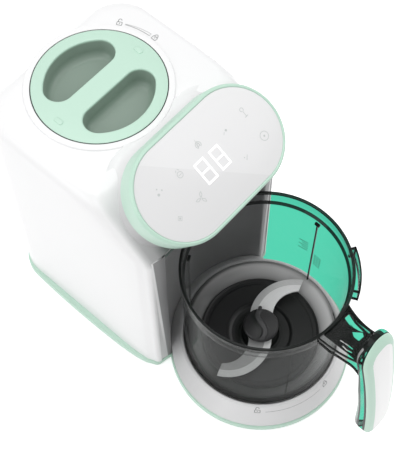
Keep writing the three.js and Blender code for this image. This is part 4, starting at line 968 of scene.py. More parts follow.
def make_glass():
    """The glass plate: the long outline stacked up, drawn in at the top for a fine rounded edge."""
    levels = [level(stadium(PANEL_HALF, r, 0, 60), n)
              for r, n in [(37.26, -2.8), (37.26, -0.6), (37.2, -0.45), (37.05, -0.4)]]
    return piece("panel_pane", skin(tilted(levels)), panel_glass(), "base", ["panel_glass"])


def stroke(points, width, closed=False):
    """A flat ribbon of a width along a polyline, as a left and a right edge, offset along its normals."""
    p = np.asarray(points, float)
    along = np.roll(p, -1, 0) - np.roll(p, 1, 0) if closed else np.gradient(p, axis=0)
    normal = np.stack([along[:, 1], -along[:, 0]], -1)
    normal *= width / 2 / np.linalg.norm(normal, axis=1, keepdims=True)
    rows = np.stack([p + normal, p - normal], 1)
    faces = grid_faces(len(p), 2, around=False, ring=closed).reshape(-1, 4)
    return rows.reshape(-1, 2), faces.tolist()


def patch(points):
    """A filled flat outline as one face."""
    return np.asarray(points, float), [list(range(len(points)))]


def printed_shape(flat, lift, place):
    """Flat (x, y) shapes set on a surface: lift is their height over it, place maps (x, y, lift)."""
    return merged(*((place(level(points, lift)), faces) for points, faces in flat))


def turned_by(flat, angle, x, y, size=1.0):
    """Flat shapes turned by an angle, scaled and moved to (x, y)."""
    c, s = math.cos(angle) * size, math.sin(angle) * size
    return [(points @ np.array([[c, s], [-s, c]]) + [x, y], faces) for points, faces in flat]


def padlock(opened, pen):
    """A padlock, 6 mm high: a box of strokes, a keyhole, and a shackle that is shut or swung up."""
    body = rounded([[-2.4, -3], [2.4, -3], [2.4, 0.6], [-2.4, 0.6]], 0.6, 4, closed=True)
    lift = 0.9 if opened else 0
    shackle = np.concatenate([[[-1.5, 0.6]], arc(0, 1.7 + lift, 1.5, np.pi, 0, 14),
                              [[1.5, 1.6 + lift if opened else 0.6]]])
    return [stroke(body, pen, True), stroke(shackle, pen), patch(circle(0, -1, 0.55, 12))]


def seven_segments(width, height, pen):
    """An 8 of square strokes: a box with two openings."""
    w, h = width / 2, height / 2

    def box(left, right, low, high):
        return np.array([[left, low, 0], [right, low, 0], [right, high, 0], [left, high, 0]])

    points, faces = filled([box(-w, w, -h, h), box(pen - w, w - pen, pen - h, -pen / 2),
                            box(pen - w, w - pen, pen / 2, h - pen)])
    return [(points[:, :2], faces)]


def make_display():
    """Two lit digits and the small signs of the touch panel, laid on the glass."""
    pen = mm("digit_stroke")
    digits = []
    for x, size in ((-6.65, 1.02), (8.55, 0.96)):
        digits += turned_by(seven_segments(10.4, mm("digit_height"), pen), 0, x, -1.5, size)
    piece("display_digits", printed_shape(digits, -0.34, tilted), lit_segment(), "base")
    pen = mm("sign_stroke") * 0.6
    drop = np.concatenate([arc(0, -0.8, 2, -0.25 * np.pi - 0.2, 1.25 * np.pi + 0.2, 20), [[0, 3.2]]])
    spoon = arc(0, 1.8, 1.2, -0.4 * np.pi, 1.4 * np.pi, 16)
    wing = rounded([[0, 0.2], [1.9, 1.2], [2.6, 3.2], [0.8, 2.6]], 0.5, 3, closed=True)
    square = np.array([[-1, 0], [0, -1], [1, 0], [0, 1]])
    signs = [
        (46, 10.3, [stroke(spoon, pen), stroke([[0, 0.6], [0, -3.2]], pen),
                    stroke([[-1.4, -3.2], [1.4, -3.2]], pen)]),
        (24.4, 9.3, [patch(circle(1.2, 0.3, 0.8, 12)), stroke([[-1.8, -1.0], [-0.4, 0.2]], pen)]),
        (46.8, -13.2, [stroke(circle(0, 0, 2.9), pen, True), patch(circle(0, 0, 0.7, 12))]),
        (24.9, -15.6, [stroke([[-1.2, -1.1], [1.3, 1.2]], pen), patch(circle(-1.4, 1.0, 0.4, 8))]),
        (1.8, 16.8, [stroke(drop, pen, True), stroke(circle(0, -0.8, 0.8), pen, True)]),
        (-23.7, 10.2, [stroke(circle(0, -0.6, 1.9), pen, True), stroke([[-1.4, 1.8], [-0.5, 3.1]], pen),
                       stroke([[1.4, 1.8], [0.5, 3.1]], pen), stroke([[-1.3, -0.6], [1.3, -0.6]], pen)]),
        (-44.1, 11.2, [patch(circle(-1.5, -1.3, 0.9, 12)), patch(circle(1.9, -0.5, 0.5, 10)),
                       patch(circle(-0.3, 1.9, 0.5, 10))]),
        (-23.2, -13.2, [turned_by([stroke(wing, pen, True)], angle, 0, 0)[0] for angle in (0, 2.1, 4.2)]),
        (-45.4, -13, [stroke(1.7 * square, pen, True), patch(0.8 * square)]),
    ]
    flat = []
    for x, y, shapes in signs:
        flat += turned_by(shapes, 0, x, y, 1.2)
    faint = plain("faint_print", (0.60, 0.63, 0.62), 0.4, grain=2500, drift=0.08)
    return piece("panel_signs", printed_shape(flat, -0.36, tilted), faint, "base")


# Tank lid


def make_collar():
    """The white ring round the lid, its section turned about the lid's axis."""
    profile = rounded([[47.1, 234.7], [57.8, 234.7], [57.8, 243.6], [58.08, TOP], [57.6, LID_TOP],
                       [52.8, LID_TOP], [52.8, 237.7], [47.1, 237.7]],
                      [0, 0, 0, 0.1, 1, 0.4, 0, 0], 6, closed=True)
    return piece("lid_collar", revolved(profile, 160, 0, LID_Y), satin_white("white_plastic"), "base",
                 ["tank_collar"])


def filled(loops, up=True):
    """A flat surface between an outline and the holes in it, each a row of points; it faces up or down."""
    surface = bmesh.new()
    edges = []
    for loop in loops:
        ring_vertices = [surface.verts.new(p) for p in loop]
        edges += [surface.edges.new((ring_vertices[i - 1], ring_vertices[i])) for i in range(len(loop))]
    bmesh.ops.triangle_fill(surface, edges=edges, use_beauty=True, use_dissolve=False, normal=(0, 0, 1))
    surface.verts.index_update()
    points = np.array([v.co[:] for v in surface.verts])
    faces = [[v.index for v in (f.verts if (f.normal.z >= 0) == up else reversed(f.verts))]
             for f in surface.faces]
    surface.free()
    return points, faces


def recess_rings(side, path):
    """A finger recess's outline at the growths and heights of a path."""
    return np.array([level(finger_outline(side, grow) + [0, LID_Y], z) for grow, z in path])


def make_lid():
    """The mint lid: a flat top with a rounded edge, and two recesses whose rings shrink with depth:
    a rounded lip, a wall with draft, a wide round and a floor. Tubs of the same rings close them below."""
    underside = 241
    lip, sweep, draft = mm("edge_round"), mm("recess_floor_round"), mm("recess_draft")
    bottom = LID_TOP - mm("recess_depth")
    drop = LID_TOP - lip - bottom - sweep
    path = [(lip * (1 - math.sin(t)), LID_TOP - lip * (1 - math.cos(t)))
            for t in np.linspace(0, np.pi / 2, 7)]
    path += [(-draft * share, LID_TOP - lip - drop * share) for share in np.linspace(0.25, 1, 4)]
    path += [(-draft - sweep * (1 - math.cos(t)), bottom + sweep * (1 - math.sin(t)))
             for t in np.linspace(0.2, np.pi / 2, 8)]
    tub = [(-5, bottom - 1.8), (-1.5, bottom - 1), (1.2, bottom + 5), (1.8, underside)]
    hollows, mouths, feet = [], [], []
    for side in (1, -1):
        inside = recess_rings(side, path)
        points, faces = skin(inside[:, ::-1])
        hollows.append((points, faces[:-2] + faces[-1:]))
        mouths.append(inside[0])
    for side in (1, -1):
        outside = recess_rings(side, tub)
        points, faces = skin(outside)
        hollows.append((points, faces[:-1]))
        feet.append(outside[-1])
    a = np.linspace(0, np.pi / 2, 6)
    edge = np.stack([LID - 0.9 * (1 - np.cos(a)), LID_TOP - 0.9 * (1 - np.sin(a))], -1)
    rim = revolved(np.concatenate([[[LID, underside]], edge]), 160, 0, LID_Y, closed=False)
    face = filled([level(circle(0, LID_Y, LID - 0.9, 160), LID_TOP), *mouths])
    back = filled([level(circle(0, LID_Y, LID, 160), underside), *feet], up=False)
    piece("tank_cap", merged(rim, face, back, *hollows), lid_plastic("lid_mint_plastic"), "tank_lid",
          ["tank_lid"])
    plate = rounded([[-2.1, -3.9], [2.1, -3.9], [2.1, 3.9], [-2.1, 3.9]], 1.9, 6, closed=True)
    marks = [pillow(plate + [side * 43.4, LID_Y], LID_TOP - 0.4, LID_TOP + 0.6, 0.5) for side in (-1, 1)]
    return piece("cap_marks", merged(*marks), mint_plastic(), "tank_lid")


# Signs on the tower and the deck


def make_top_signs():
    """The open and shut signs on the tower's top, beside the lid, with a tapered arc between them."""
    pen = mm("sign_stroke")
    flat = []
    reach = 61.5
    for angle, opened in ((29, True), (-0.8, False)):
        a = math.radians(angle)
        flat += turned_by(padlock(opened, pen), a - np.pi / 2, reach * math.cos(a), reach * math.sin(a), 0.85)
    sweep = np.radians(np.linspace(24.5, 3.5, 30))
    width = np.linspace(0.6, 2.2, 30)
    for side, line_width in ((-0.5, 0.5), (0.5, 0.3)):
        radius = 60.8 + side * width
        flat.append(stroke(np.stack([radius * np.cos(sweep), radius * np.sin(sweep)], -1), line_width))
    flat.append(stroke(np.array([[59.7, 3.65], [61.9, 3.65]]), 0.3))
    shape = printed_shape(flat, TOP + 0.06, lambda p: p + [0, LID_Y, 0])
    return piece("top_signs", shape, printed(), "base")


def on_deck(points):
    """Wraps flat points (along the rim, up the slope, lift) onto the deck's cone: the angle is
    -90 degrees + x / 74, and the radius falls from 76.2 mm as the height rises from 17 mm."""
    s, v, lift = points.T
    angle = -np.pi / 2 + s / 74
    slope = math.atan2(34 - 11.8, 78.2 - 70.5)
    radius = 74.35 - v * math.cos(slope) + lift * math.sin(slope)
    z = 22.9 + v * math.sin(slope) + lift * math.cos(slope)
    return np.stack([radius * np.cos(angle), radius * np.sin(angle), z], -1)


def make_deck_signs():
    """The open and shut signs on the deck, with a line between them that follows the rim."""
    pen = mm("sign_stroke")
    flat = turned_by(padlock(False, pen), 0, 0.5, 7.5) + turned_by(padlock(True, pen), 0, -67, 8)
    s = np.linspace(-60, -6, 60)
    flat.append(stroke(np.stack([s, 0 * s + 6], -1), 0.4))
    return piece("deck_signs", printed_shape(flat, 0.06, on_deck), printed(), "base")


# Bowl


# The bowl's finishes by number: clear wall, thick dark edge, dark haze of the collar, and hazy foot with
# painted light and shade
CLEAR, EDGE, HAZE, FOOT = range(4)


def jar_profile():
    """The jar's section: foot, shoulder, wall, collar and rim outside, and the same inside."""
    return rounded([
        [46, 27], [56.8, 27], [64, 32], [WALL, 35], [WALL, 37.1], [WALL, 143.8], [JAR_COLLAR, 146.2],
        [JAR_COLLAR, 158.7], [JAR_COLLAR, 160.1], [68.1, 160.7], [66.6, 160.7], [WALL, 159.6], [WALL, 158.4],
        [WALL, 148.6], [WALL_IN, 146.2], [WALL_IN, 37], [59.2, 33], [52, 29], [46, 29]],
        [0, 2, 3, 1.6, 0, 0.6, 0.8, 0, 0.5, 0.4, 0.4, 0.3, 0, 0.6, 0.8, 5, 4, 1, 0], 6, closed=True)


def jar_kinds(profile, steps):
    """The finish of each face of the turned jar: dark edges at the rim and at the step inside the collar,
    painted shade as a dark edge on the collar's front, a painted shadow line along the low round part of the
    wall on one side, haze over the rest of the collar, and the hazy foot with its painted light and shade
    below 38 mm."""
    z = profile[:, 1]
    middle = (z + np.roll(z, -1)) / 2
    inside = profile[:, 0] < WALL + 0.1
    thick = ((middle > 146.6) & (middle < 149) & inside) | (middle > 158.6)
    kinds = np.where(thick, EDGE, np.where(middle > 145.5, HAZE, np.where(middle < 38, FOOT, CLEAR)))
    kinds = np.repeat(kinds, steps)
    angle = np.tile(np.arange(steps), len(profile)) * 2 * np.pi / steps
    # A painted shadow line along the low round part of the wall, on one side only
    low_edge = np.repeat((np.abs(middle - 36) < 1.1) & (profile[:, 0] > WALL - 0.5), steps)
    kinds = np.where(low_edge & (np.sin(angle + math.radians(41)) < 0.1), EDGE, kinds)
    # Painted shade: the collar's front turns into a dark edge
    return np.where((kinds == HAZE) & (np.sin(angle) < -0.965), EDGE, kinds)


def jar_ribs():
    """Three ribs down the wall's inside, the first one dark, each with a small stop at its top."""
    half = mm("rib_width") / 2
    top = 142.6
    parts = []
    for degrees, kind in ((-1, EDGE), (116, CLEAR), (-121, CLEAR)):
        angle = math.radians(degrees)
        c, s = math.cos(angle), math.sin(angle)
        turn = np.array([[c, s], [-s, c]])
        bar = rounded([[62.7, -half], [64.4, -half], [64.4, half], [62.7, half]], 0.4, 3, closed=True)
        parts.append((skin(stacked(bar @ turn, [40, top])), kind))
        stop = rounded([[62.2, -2.4], [64.4, -2.4], [64.4, 2.4], [62.2, 2.4]], 0.5, 3, closed=True)
        parts.append((skin(stacked(stop @ turn, [top, top + 2.2])), EDGE))
    return parts


def rim_bracket():
    """The bracket at the rim: a clear curved plate with dark edges, a strip that joins it to the collar
    above, and two side walls."""
    heading, half, wall = math.radians(-48), math.radians(16), math.radians(1.6)
    low, high = 142.5, 154.8
    parts = []

    def strip(inner, outer, bottom, top, kind, start=heading - half, end=heading + half):
        """A ring's sector between two radii and two heights."""
        plan = np.concatenate([arc(0, 0, outer, start, end, 24), arc(0, 0, inner, end, start, 24)])
        parts.append((skin(stacked(plan, [bottom, top])), kind))

    strip(72.2, 73.8, low, high, CLEAR)
    strip(72.6, 73.9, low - 0.8, low, EDGE)
    strip(72.6, 73.9, high, high + 1, EDGE)
    strip(68.6, 72.6, high, high + 0.9, CLEAR)
    for side in (-1, 1):
        end = heading + side * half
        ends = sorted((end, end - side * wall))
        strip(68.6, 73.4, low, high, CLEAR, *ends)
        strip(68.6, 73.9, low - 0.8, low, EDGE, *ends)
        strip(68.6, 73.9, high, high + 1, EDGE, *ends)
        strip(73.2, 73.9, low, high, EDGE, *ends)
    return parts


def clear_grip():
    """The clear half of the grip, up to 4 mm deeper in its lower half, with dark edges and a hazy band in the
    foot's painted light.
    The rows of its faces run up the grip and the columns run round it. Its top rows are dark."""
    sections = grip_sections(0, 5.9, GRIP_DEPTH)
    rows, columns = sections.shape[:2]
    z = sections[:, :, 2]
    depth = sections[:, :, 1] - sections[:, :, 1].min(axis=1, keepdims=True)
    depth = depth / np.maximum(depth.max(axis=1, keepdims=True), 1e-6)
    sections[:, :, 1] += depth * (2.4 * np.clip((140 - z) / 30, 0, 1) + 1.6 * np.clip((85 - z) / 35, 0, 1))
    column = np.arange(columns)
    band = np.interp(columns - 2 - column, [0, 0.5, 1, 2.5, 3, 4.5, 5, 9.5, 10, 13.5, 14],
                     [EDGE, EDGE, CLEAR, CLEAR, EDGE, EDGE, FOOT, FOOT, EDGE, EDGE, CLEAR])
    band[column < columns // 2] = CLEAR
    kinds = np.tile(np.round(band), (rows - 1, 1))
    kinds[:, 0] = EDGE
    kinds[-4:] = EDGE
    return skin(sections), np.concatenate([kinds.ravel(), [EDGE, EDGE]])


def make_jar():
    """The clear bowl: its section turned about the axis, with thick edges, ribs, the rim's bracket,
    the hollow arm and the clear half of the grip."""
    profile, steps = jar_profile(), 180
    jar = (revolved(profile, steps), jar_kinds(profile, steps))
    parts = [jar, *jar_ribs(), *rim_bracket(), *arm_parts(), clear_grip()]
    kinds = [np.broadcast_to(kind, len(shape[1])) for shape, kind in parts]
    wall, *others = bowl_finishes()
    return piece("clear_bowl", merged(*(shape for shape, kind in parts)), wall, "bowl", ["bowl_jar"],
                 faces_finish=np.concatenate(kinds), extra=others)


# The web under the arm's top as (x, reach): its outline, then its windows
ARM_WEB = (
    ((18.4, 64.3), (17.1, 77.5), (15.9, 86.5), (15, 94.9), (14.5, 101), (10.8, 98.8), (2.2, 98), (-4.5, 99.6),
     (-12.6, 104.1), (-12.6, 98.6), (-10.7, 88.2), (-10.8, 78.6), (-12.7, 65.4), (-0.9, 66.6)),
    ((9.5, 69.8), (14.8, 70.2), (14.5, 80), (14, 91.5), (12, 91), (9.6, 84), (8.2, 76)),
    ((5.6, 80.4), (10.4, 87), (8, 89.6), (2.6, 89), (3, 84)),
    ((8.4, 95), (12.5, 95), (15, 96.2), (14.6, 98), (9.6, 97.6)),
    ((-5.5, 77.8), (-4.7, 83.5), (-5.1, 89.9), (-6.1, 89.7), (-5.9, 83.8), (-6.5, 77.9)),
    ((-7.8, 81.8), (-8.3, 86.4), (-7.9, 91.1), (-9, 91.1), (-9.6, 86.7), (-8.8, 81.5)),
    ((-10.2, 97.5), (-6, 97.6), (-6.3, 98.6), (-10.7, 98.8)),
    ((-11.5, 100.6), (-8.3, 99.8), (-8.7, 100.8), (-11.6, 101.8)),
)


def arm_web(reach, top):
    """The dark web under the arm's top: a plate of 1 mm with windows that follows the sag."""
    upper, lower = [], []
    for i, points in enumerate(ARM_WEB):
        ring = np.array(points) * [1, -1]
        after = np.roll(ring, -1, 0)
        area = np.sum(ring[:, 0] * after[:, 1] - ring[:, 1] * after[:, 0])
        ring = rounded(ring[::-1] if (area > 0) != (i == 0) else ring, 0.5, 2, closed=True)
        z = np.interp(-ring[:, 1], reach, top) - 2.4
        upper.append(clear_of_bowl(np.column_stack([ring, z])))
        lower.append(clear_of_bowl(np.column_stack([ring, z - 1])))
    walls = [skin(np.stack(pair), caps=False) for pair in zip(lower, upper)]
    return merged(filled(upper), filled(lower, up=False), *walls)


def clear_of_bowl(sections):
    """Points of the arm that lie in the bowl's collar, pushed out to a radius of 67.6 mm."""
    flat = np.hypot(sections[..., 0], sections[..., 1])
    return sections * np.stack([np.maximum(1, 67.6 / flat)] * 2 + [np.ones_like(flat)], -1)


def at_reach(outline, y):
    """An upright (x, z) outline at a distance in front of the axis."""
    x, z = np.asarray(outline, float).T
    return np.stack([x, 0 * x - y, z], -1)


def arm_parts():
    """The hollow arm: an upside-down U carried from the rim to the grip, its top sagging and its sides
    drawn in between, with a boss, a web and dark strips along the edges of its walls."""
    count, wall = 24, 1.8
    s = np.linspace(0, 1, count)
    reach = ARM_FROM + (ARM_TO - ARM_FROM) * s
    width = bend([19, 0], [15, 0.5], [14.5, 1], count)[:, 0]
    top = bend([158, 0], [146, 0.5], [160, 1], count)[:, 0]
    foot = np.where(s < 0.75, 143.0, 143 - 6 * ((s - 0.75) / 0.25) ** 2) + 7 * np.clip(1 - s / 0.3, 0, 1)
    tube = []
    for y, w, t, b in zip(reach, width, top, foot):
        outer = rounded([[-w, b], [-w, t], [w, t], [w, b]], [0, 2.2, 2.2, 0], 4)
        inner = rounded([[w - wall, b], [w - wall, t - wall], [-w + wall, t - wall], [-w + wall, b]],
                        [0, 1.2, 1.2, 0], 4)
        tube.append(at_reach(np.concatenate([outer, inner]), y))
    boss = rounded([[1.4, 149.3], [2.6, 149.3], [2.6, 153.4], [1.4, 153.4]], 0.2, 2, closed=True)
    parts = [(skin(clear_of_bowl(np.array(tube))), CLEAR), (revolved(boss, 40, 5.7, -77.6), HAZE),
             (arm_web(reach, top), EDGE)]

    def edging(side, half, heights, low, high):
        """A dark strip along a side wall: a box of a half width, from low to high about its heights."""
        boxes = []
        for y, w, z in zip(reach, width, heights):
            a, b = side * (w - half) - half, side * (w - half) + half
            boxes.append(at_reach([[a, z + low], [b, z + low], [b, z + high], [a, z + high]], y))
        return skin(clear_of_bowl(np.array(boxes))[::-1]), EDGE

    for side in (-1, 1):
        parts += [edging(side, 0.9, foot, -0.1, 0.9), edging(side, 0.7, top, -1.4, 0.05)]
    return parts


def make_floor():
    """The bowl's dark floor: a section with shallow rings and a step, turned about the bowl's axis."""
    profile = rounded([
        [6.3, 26.7], [45.7, 26.7], [45.7, 29.3], [51.7, 29.3], [51.7, 31.3], [50.6, 31.3], [49.6, 30.4],
        [46.5, 30.4], [45.6, 31.2], [29.6, 31.3], [28.4, 31.9], [27.2, 31.3], [26, 30.2], [19, 30.2],
        [17.8, 31.2], [16.6, 31.2], [15.4, 30.2], [6.3, 30.2]], 0.5, 4, closed=True)
    return piece("bowl_base", revolved(profile, 160), floor_plastic(), "bowl", ["bowl_floor"])


# A blade's outer and inner edge as arcs: centre x, y and radius
OUTER_EDGE = (23.6, -17.9, 38.7)
INNER_EDGE = (29.3, -19.2, 23.2)


def tip_angle(edge, reach):
    """The angle on an edge's arc at which it is a reach away from the axis, by the law of cosines."""
    x, y, radius = edge
    distance, base = math.hypot(x, y), math.atan2(y, x)
    swing = math.acos((distance ** 2 + reach ** 2 - radius ** 2) / (2 * distance * reach))
    return math.atan2(reach * math.sin(base + swing) - y, reach * math.cos(base + swing) - x)


def sickle(turn, z):
    """A blade: its inner and outer edges are arcs about two centres, paired point by point, with a flat
    body and a ground edge that thins towards the outer, convex side. Its faces are 0, or 1 if ground."""
    count = 48
    outer_tip, inner_tip = tip_angle(OUTER_EDGE, 58), tip_angle(INNER_EDGE, 47)
    outer = arc(*OUTER_EDGE, outer_tip, outer_tip + 1.95, count)
    inner = arc(*INNER_EDGE, inner_tip, inner_tip + 2.15, count)
    across = outer - inner
    wide = np.linalg.norm(across, axis=1, keepdims=True)
    bevel = outer - across / wide * np.minimum(mm("blade_bevel"), wide * 0.5)
    along = np.linspace(0, 1, count)
    rise = 1.2 * (1 - np.clip(along * 3, 0, 1)) ** 2
    c, s = math.cos(turn), math.sin(turn)
    matrix = np.array([[c, s], [-s, c]])
    rows = [np.column_stack([points @ matrix, z + height + rise]) for points, height in
            ((inner, 0.1), (bevel, 0), (outer, 0.75), (outer, 1.0), (bevel, 1.8), (inner, 1.75))]
    points, faces = skin(np.stack(rows, 1))
    kinds = np.zeros(len(faces), int)
    ground = [0, 1, 1, 1, 0, 0]
    kinds[:len(ground) * (count - 1)] = np.tile(ground, count - 1)
    return points, faces, kinds


def make_blades():
    """Both curved blades, each with a round root turned about the axis."""
    # The lower blade's steel is dimmed as painted shade and the upper's raised as painted light; the lower
    # blade's ground edge is a painted highlight
    for name, node, turn, z, share, edge in (
            ("lower_sickle", "blade_lower", np.pi, 36.9, 0.45, steel("glint_steel", 0.85)),
            ("upper_sickle", "blade_upper", 0.0, 43.3, 1.06, ground_steel())):
        points, faces, kinds = sickle(turn, z)
        root = revolved(rounded([[7.3, z], [12, z], [12, z + 1.8], [7.3, z + 1.8]], 0.25, 3, closed=True), 64)
        kinds = np.concatenate([kinds, np.zeros(len(root[1]), int)])
        piece(name, merged((points, faces), root), steel(name + "_steel", share), "blade_unit", [node],
              faces_finish=kinds, extra=[edge])


def cap_dome(angles=128):
    """The cap's dome over polar rings: 3 (1 - (r / 16)^2) high, its edge a quarter ellipse, raised along
    an S-shaped line, a sine across the ridge's heading, by h (1 - smooth(distance))."""
    low, flat = 45.1, 13.6
    round_off = np.linspace(0.2, np.pi / 2, 8)
    r = np.concatenate([np.linspace(0.05, flat, 44), flat + (CAP - flat) * np.sin(round_off)])
    drop = np.concatenate([np.zeros(44), 1.6 * (1 - np.cos(round_off))])
    angle = np.linspace(0, 2 * np.pi, angles, endpoint=False)
    rr, aa = np.meshgrid(r, angle, indexing="ij")
    x, y = rr * np.cos(aa), rr * np.sin(aa)
    across = x * math.sin(RIDGE) - y * math.cos(RIDGE)
    phase = np.pi * (x * math.cos(RIDGE) + y * math.sin(RIDGE)) / RIDGE_HALF
    steepness = 0.63
    away = np.abs(across + RIDGE_SWING * np.sin(phase)) / np.sqrt(1 + (steepness * np.cos(phase)) ** 2)
    fade = np.clip((14.6 - rr) / 2, 0, 1)
    ridge = mm("ridge_height") * (1 - smooth((away - 1.5) / 1.2)) * fade
    dome = low + 2.6 + 3 * (1 - (rr / 16) ** 2) - drop[:, None] + ridge
    foot = level(np.stack([CAP * np.cos(angle), CAP * np.sin(angle)], -1), low)
    return skin(np.concatenate([foot[None], np.stack([x, y, dome], -1)[::-1]]))


def make_hub():
    """The hub and its spacer as turned sections, and the domed cap with its ridge and a small knob."""
    core = rounded([[3.3, 31.8], [12, 31.8], [12, 36.3], [7, 36.6], [7, 46.6], [3.3, 46.6]],
                   [0, 0.8, 0.8, 0, 0, 0], 4, closed=True)
    piece("hub_sleeve", revolved(core, 72), dark_plastic(), "blade_unit", ["blade_hub"])
    spacer = rounded([[7.3, 39], [12, 39], [12, 43], [7.3, 43]], 0.6, 4, closed=True)
    piece("hub_spacer", revolved(spacer, 72), dark_plastic(), "blade_unit", ["blade_spacer"])
    knob = rounded([[0, 45.2], [1.7, 45.2], [1.7, 49.2], [1.2, 49.8], [0, 49.8]], [0, 0, 0.5, 0.5, 0], 4)
    knob = revolved(knob, 24, CAP * math.cos(RIDGE), CAP * math.sin(RIDGE), closed=False)
    piece("hub_dome", merged(cap_dome(), knob), hub_plastic(), "blade_unit", ["hub_cap"],
          sharp=50)


def make_grip():
    """The grip's mint frame and its crowned white cover."""
    piece("grip_band", skin(grip_sections(0, 0.0, 5.6)), mint_plastic(), "bowl", ["grip_frame"])
    cover = grip_sections(mm("cover_inset"), 0.0, 3.2, mm("cover_crown"))
    return piece("grip_shell", skin(cover), satin_white("grip_plastic", "grip_white"), "bowl",
                 ["grip_cover"])


def make_scale():
    """Plain measuring marks on the bowl's wall: short and long dashes and small bars beside them. Their
    own plane is (along the wall, up), wrapped round it as the angle 1.5 degrees - x / radius."""
    flat = []
    for i, wide in enumerate((9, 6, 9, 6, 9)):
        y = 2 + 3.3 * i
        flat.append(stroke([[-4 - wide, y], [-4, y]], 0.9))
    for i in range(6):
        for k in range(3):
            x, y = 3.5 + 2.7 * k, 3.2 * i - 13
            flat.append(stroke([[x, y], [x + 2, y]], 1.2))

    def wrap(points):
        s, v = points.T[:2]
        angle = math.radians(1.5) - s / WALL
        radius = WALL + 0.05
        return np.stack([radius * np.cos(angle), radius * np.sin(angle), 82 + v], -1)

    ink = plain("scale_print", (0.06, 0.075, 0.07), 0.5, grain=2500, drift=0.1)
    return piece("bowl_marks", printed_shape(flat, 0, wrap), ink, "bowl")


# Carried-over nodes and the stage


def dress_nodes():
    """Finishes of the CAD nodes that stay: feet, screws, boiler, motor, belt, boards and seals."""
    dressed = (
        (plain("feet_rubber", (0.045, 0.046, 0.048), 0.75, grain=900),
         [f"rubber_foot_{i}" for i in range(1, 6)]),
        (plain("belt_rubber", (0.03, 0.03, 0.032), 0.65, grain=1200), ["drive_belt"]),
        (plain("milky_silicone", (0.7, 0.72, 0.71), 0.5, grain=300, drift=0.06),
         ["tank_seal", "bowl_gasket", "water_tube", "steam_pipe", "nozzle_seal"]),
        (plain("zinc_steel", (0.5, 0.51, 0.52), 0.32, 1.0, grain=500),
         ["handle_screw", "motor_bracket", "motor_can", "boiler_heater",
          *(f"tray_screw_{i}" for i in range(1, 5))]),
        (plain("drawn_steel", (0.6, 0.61, 0.62), 0.25, 1.0, grain=700),
         ["boiler_cup", "spindle_shaft", "motor_rotor", "drive_shaft"]),
        (plain("turned_brass", (0.66, 0.5, 0.24), 0.28, 1.0, grain=600),
         ["drive_bearing", "spindle_bush", "motor_pulley", "drive_pulley", "inlet_pin_1", "inlet_pin_2"]),
        (plain("black_plastic", (0.03, 0.03, 0.032), 0.4, grain=900),
         ["display_module", "thermostat", "power_inlet", "bowl_switch", "drive_dog", "driven_dog"]),
        (plain("grey_moulding", (0.55, 0.56, 0.56), 0.45, grain=400, drift=0.05),
         ["boiler_cap", "steam_nozzle"]),
        (circuit_board(), ["control_board", "power_board"]),
        (clear_plastic("tank_clear", 0.2, (0.35, 0.37, 0.37, 1)), ["water_tank"]),
    )
    for made, names in dressed:
        for name in names:
            materials = frame["nodes"][name].data.materials
            materials.clear()
            materials.append(made)


def shows_background(f):
    """1 for a ray that shows the background: from the camera, off a glossy face or through glass."""
    camera, glossy, through = (f.node("LightPath", out=name)
                               for name in ("Is Camera Ray", "Is Glossy Ray", "Is Transmission Ray"))
    return camera.most(glossy).most(through)


@finish
def pale_floor(f):
    """A pale floor: white to the camera, with the soft shadow of the object left in it. Where the camera
    sees it through the clear bowl, it is green."""
    camera = f.node("LightPath", out="Is Camera Ray")
    passed = f.node("LightPath", out="Transparent Depth")
    shade = f.node("BsdfDiffuse", None, Color=(0.8, 0.8, 0.8, 1))
    light = f.node("Emission", None, Color=(0.62, 0.62, 0.62, 1), Strength=1.0)
    bright = f.node("AddShader", None, shade, light)
    green = f.node("Emission", None, Color=(0.14, 0.98, 0.67, 1), Strength=1.0)
    shown = f.node("MixShader", None, camera * (passed > 0.5), bright, green)
    return f.close(f.node("MixShader", None, shows_background(f), shade, shown))


def make_ground():
    """A flat floor of eight metres."""
    mesh = bpy.data.meshes.new("floor")
    mesh.from_pydata([(-4, -4, 0), (4, -4, 0), (4, 4, 0), (-4, 4, 0)], [], [(0, 1, 2, 3)])
    floor = bpy.data.objects.new("floor", mesh)
    bpy.context.scene.collection.objects.link(floor)
    mesh.materials.append(pale_floor())


def make_sky():
    """A pale world: a soft light on the object, and a little brighter where a ray shows it."""
    world = bpy.data.worlds.new("studio")
    bpy.context.scene.world = world
    sky = Finish(world, "OutputWorld")
    soft, bright = (sky.node("Background", None, Strength=strength) for strength in (0.82, 1.0))
    sky.close(sky.node("MixShader", None, shows_background(sky), soft, bright))


def make_lamps():
    """Three large soft lamps; their places and aims are metres, their power is watts."""
    for name, place, aim, power in (
            ("left_light", (-1.5, 0.5, 0.9), (0, 0, 0.12), 7),
            ("right_light", (1.0, -0.7, 1.5), (0, 0, 0.1), 5),
            ("top_light", (0.1, 0.55, 2.1), (0, 0.05, 0.1), 11)):
        data = bpy.data.lights.new(name, "AREA")
        data.size, data.energy = 1.2, power
        lamp = bpy.data.objects.new(name, data)
        lamp.location = place
        lamp.rotation_euler = (Vector(aim) - Vector(place)).to_track_quat("-Z", "Y").to_euler()
        bpy.context.scene.collection.objects.link(lamp)


def make_camera():
    """The camera of the photograph: aimed at a point of the bowl from a heading, a height and a distance."""
    heading, height, distance = math.radians(-48.7), math.radians(62.06), 1.0212
    back = Vector((math.sin(heading) * math.cos(height), -math.cos(heading) * math.cos(height),
                   math.sin(height)))
    target = Vector((0.05045, 0.1054 + AXIS_Y / 1000, 0.02891))
    data = bpy.data.cameras.new("photo_camera")
    data.lens = 88.2
    data.clip_end = 20
    camera = bpy.data.objects.new("photo_camera", data)
    camera.location = target + back * distance
    camera.rotation_euler = (-back).to_track_quat("-Z", "Y").to_euler()
    bpy.context.scene.collection.objects.link(camera)
    bpy.context.scene.camera = camera


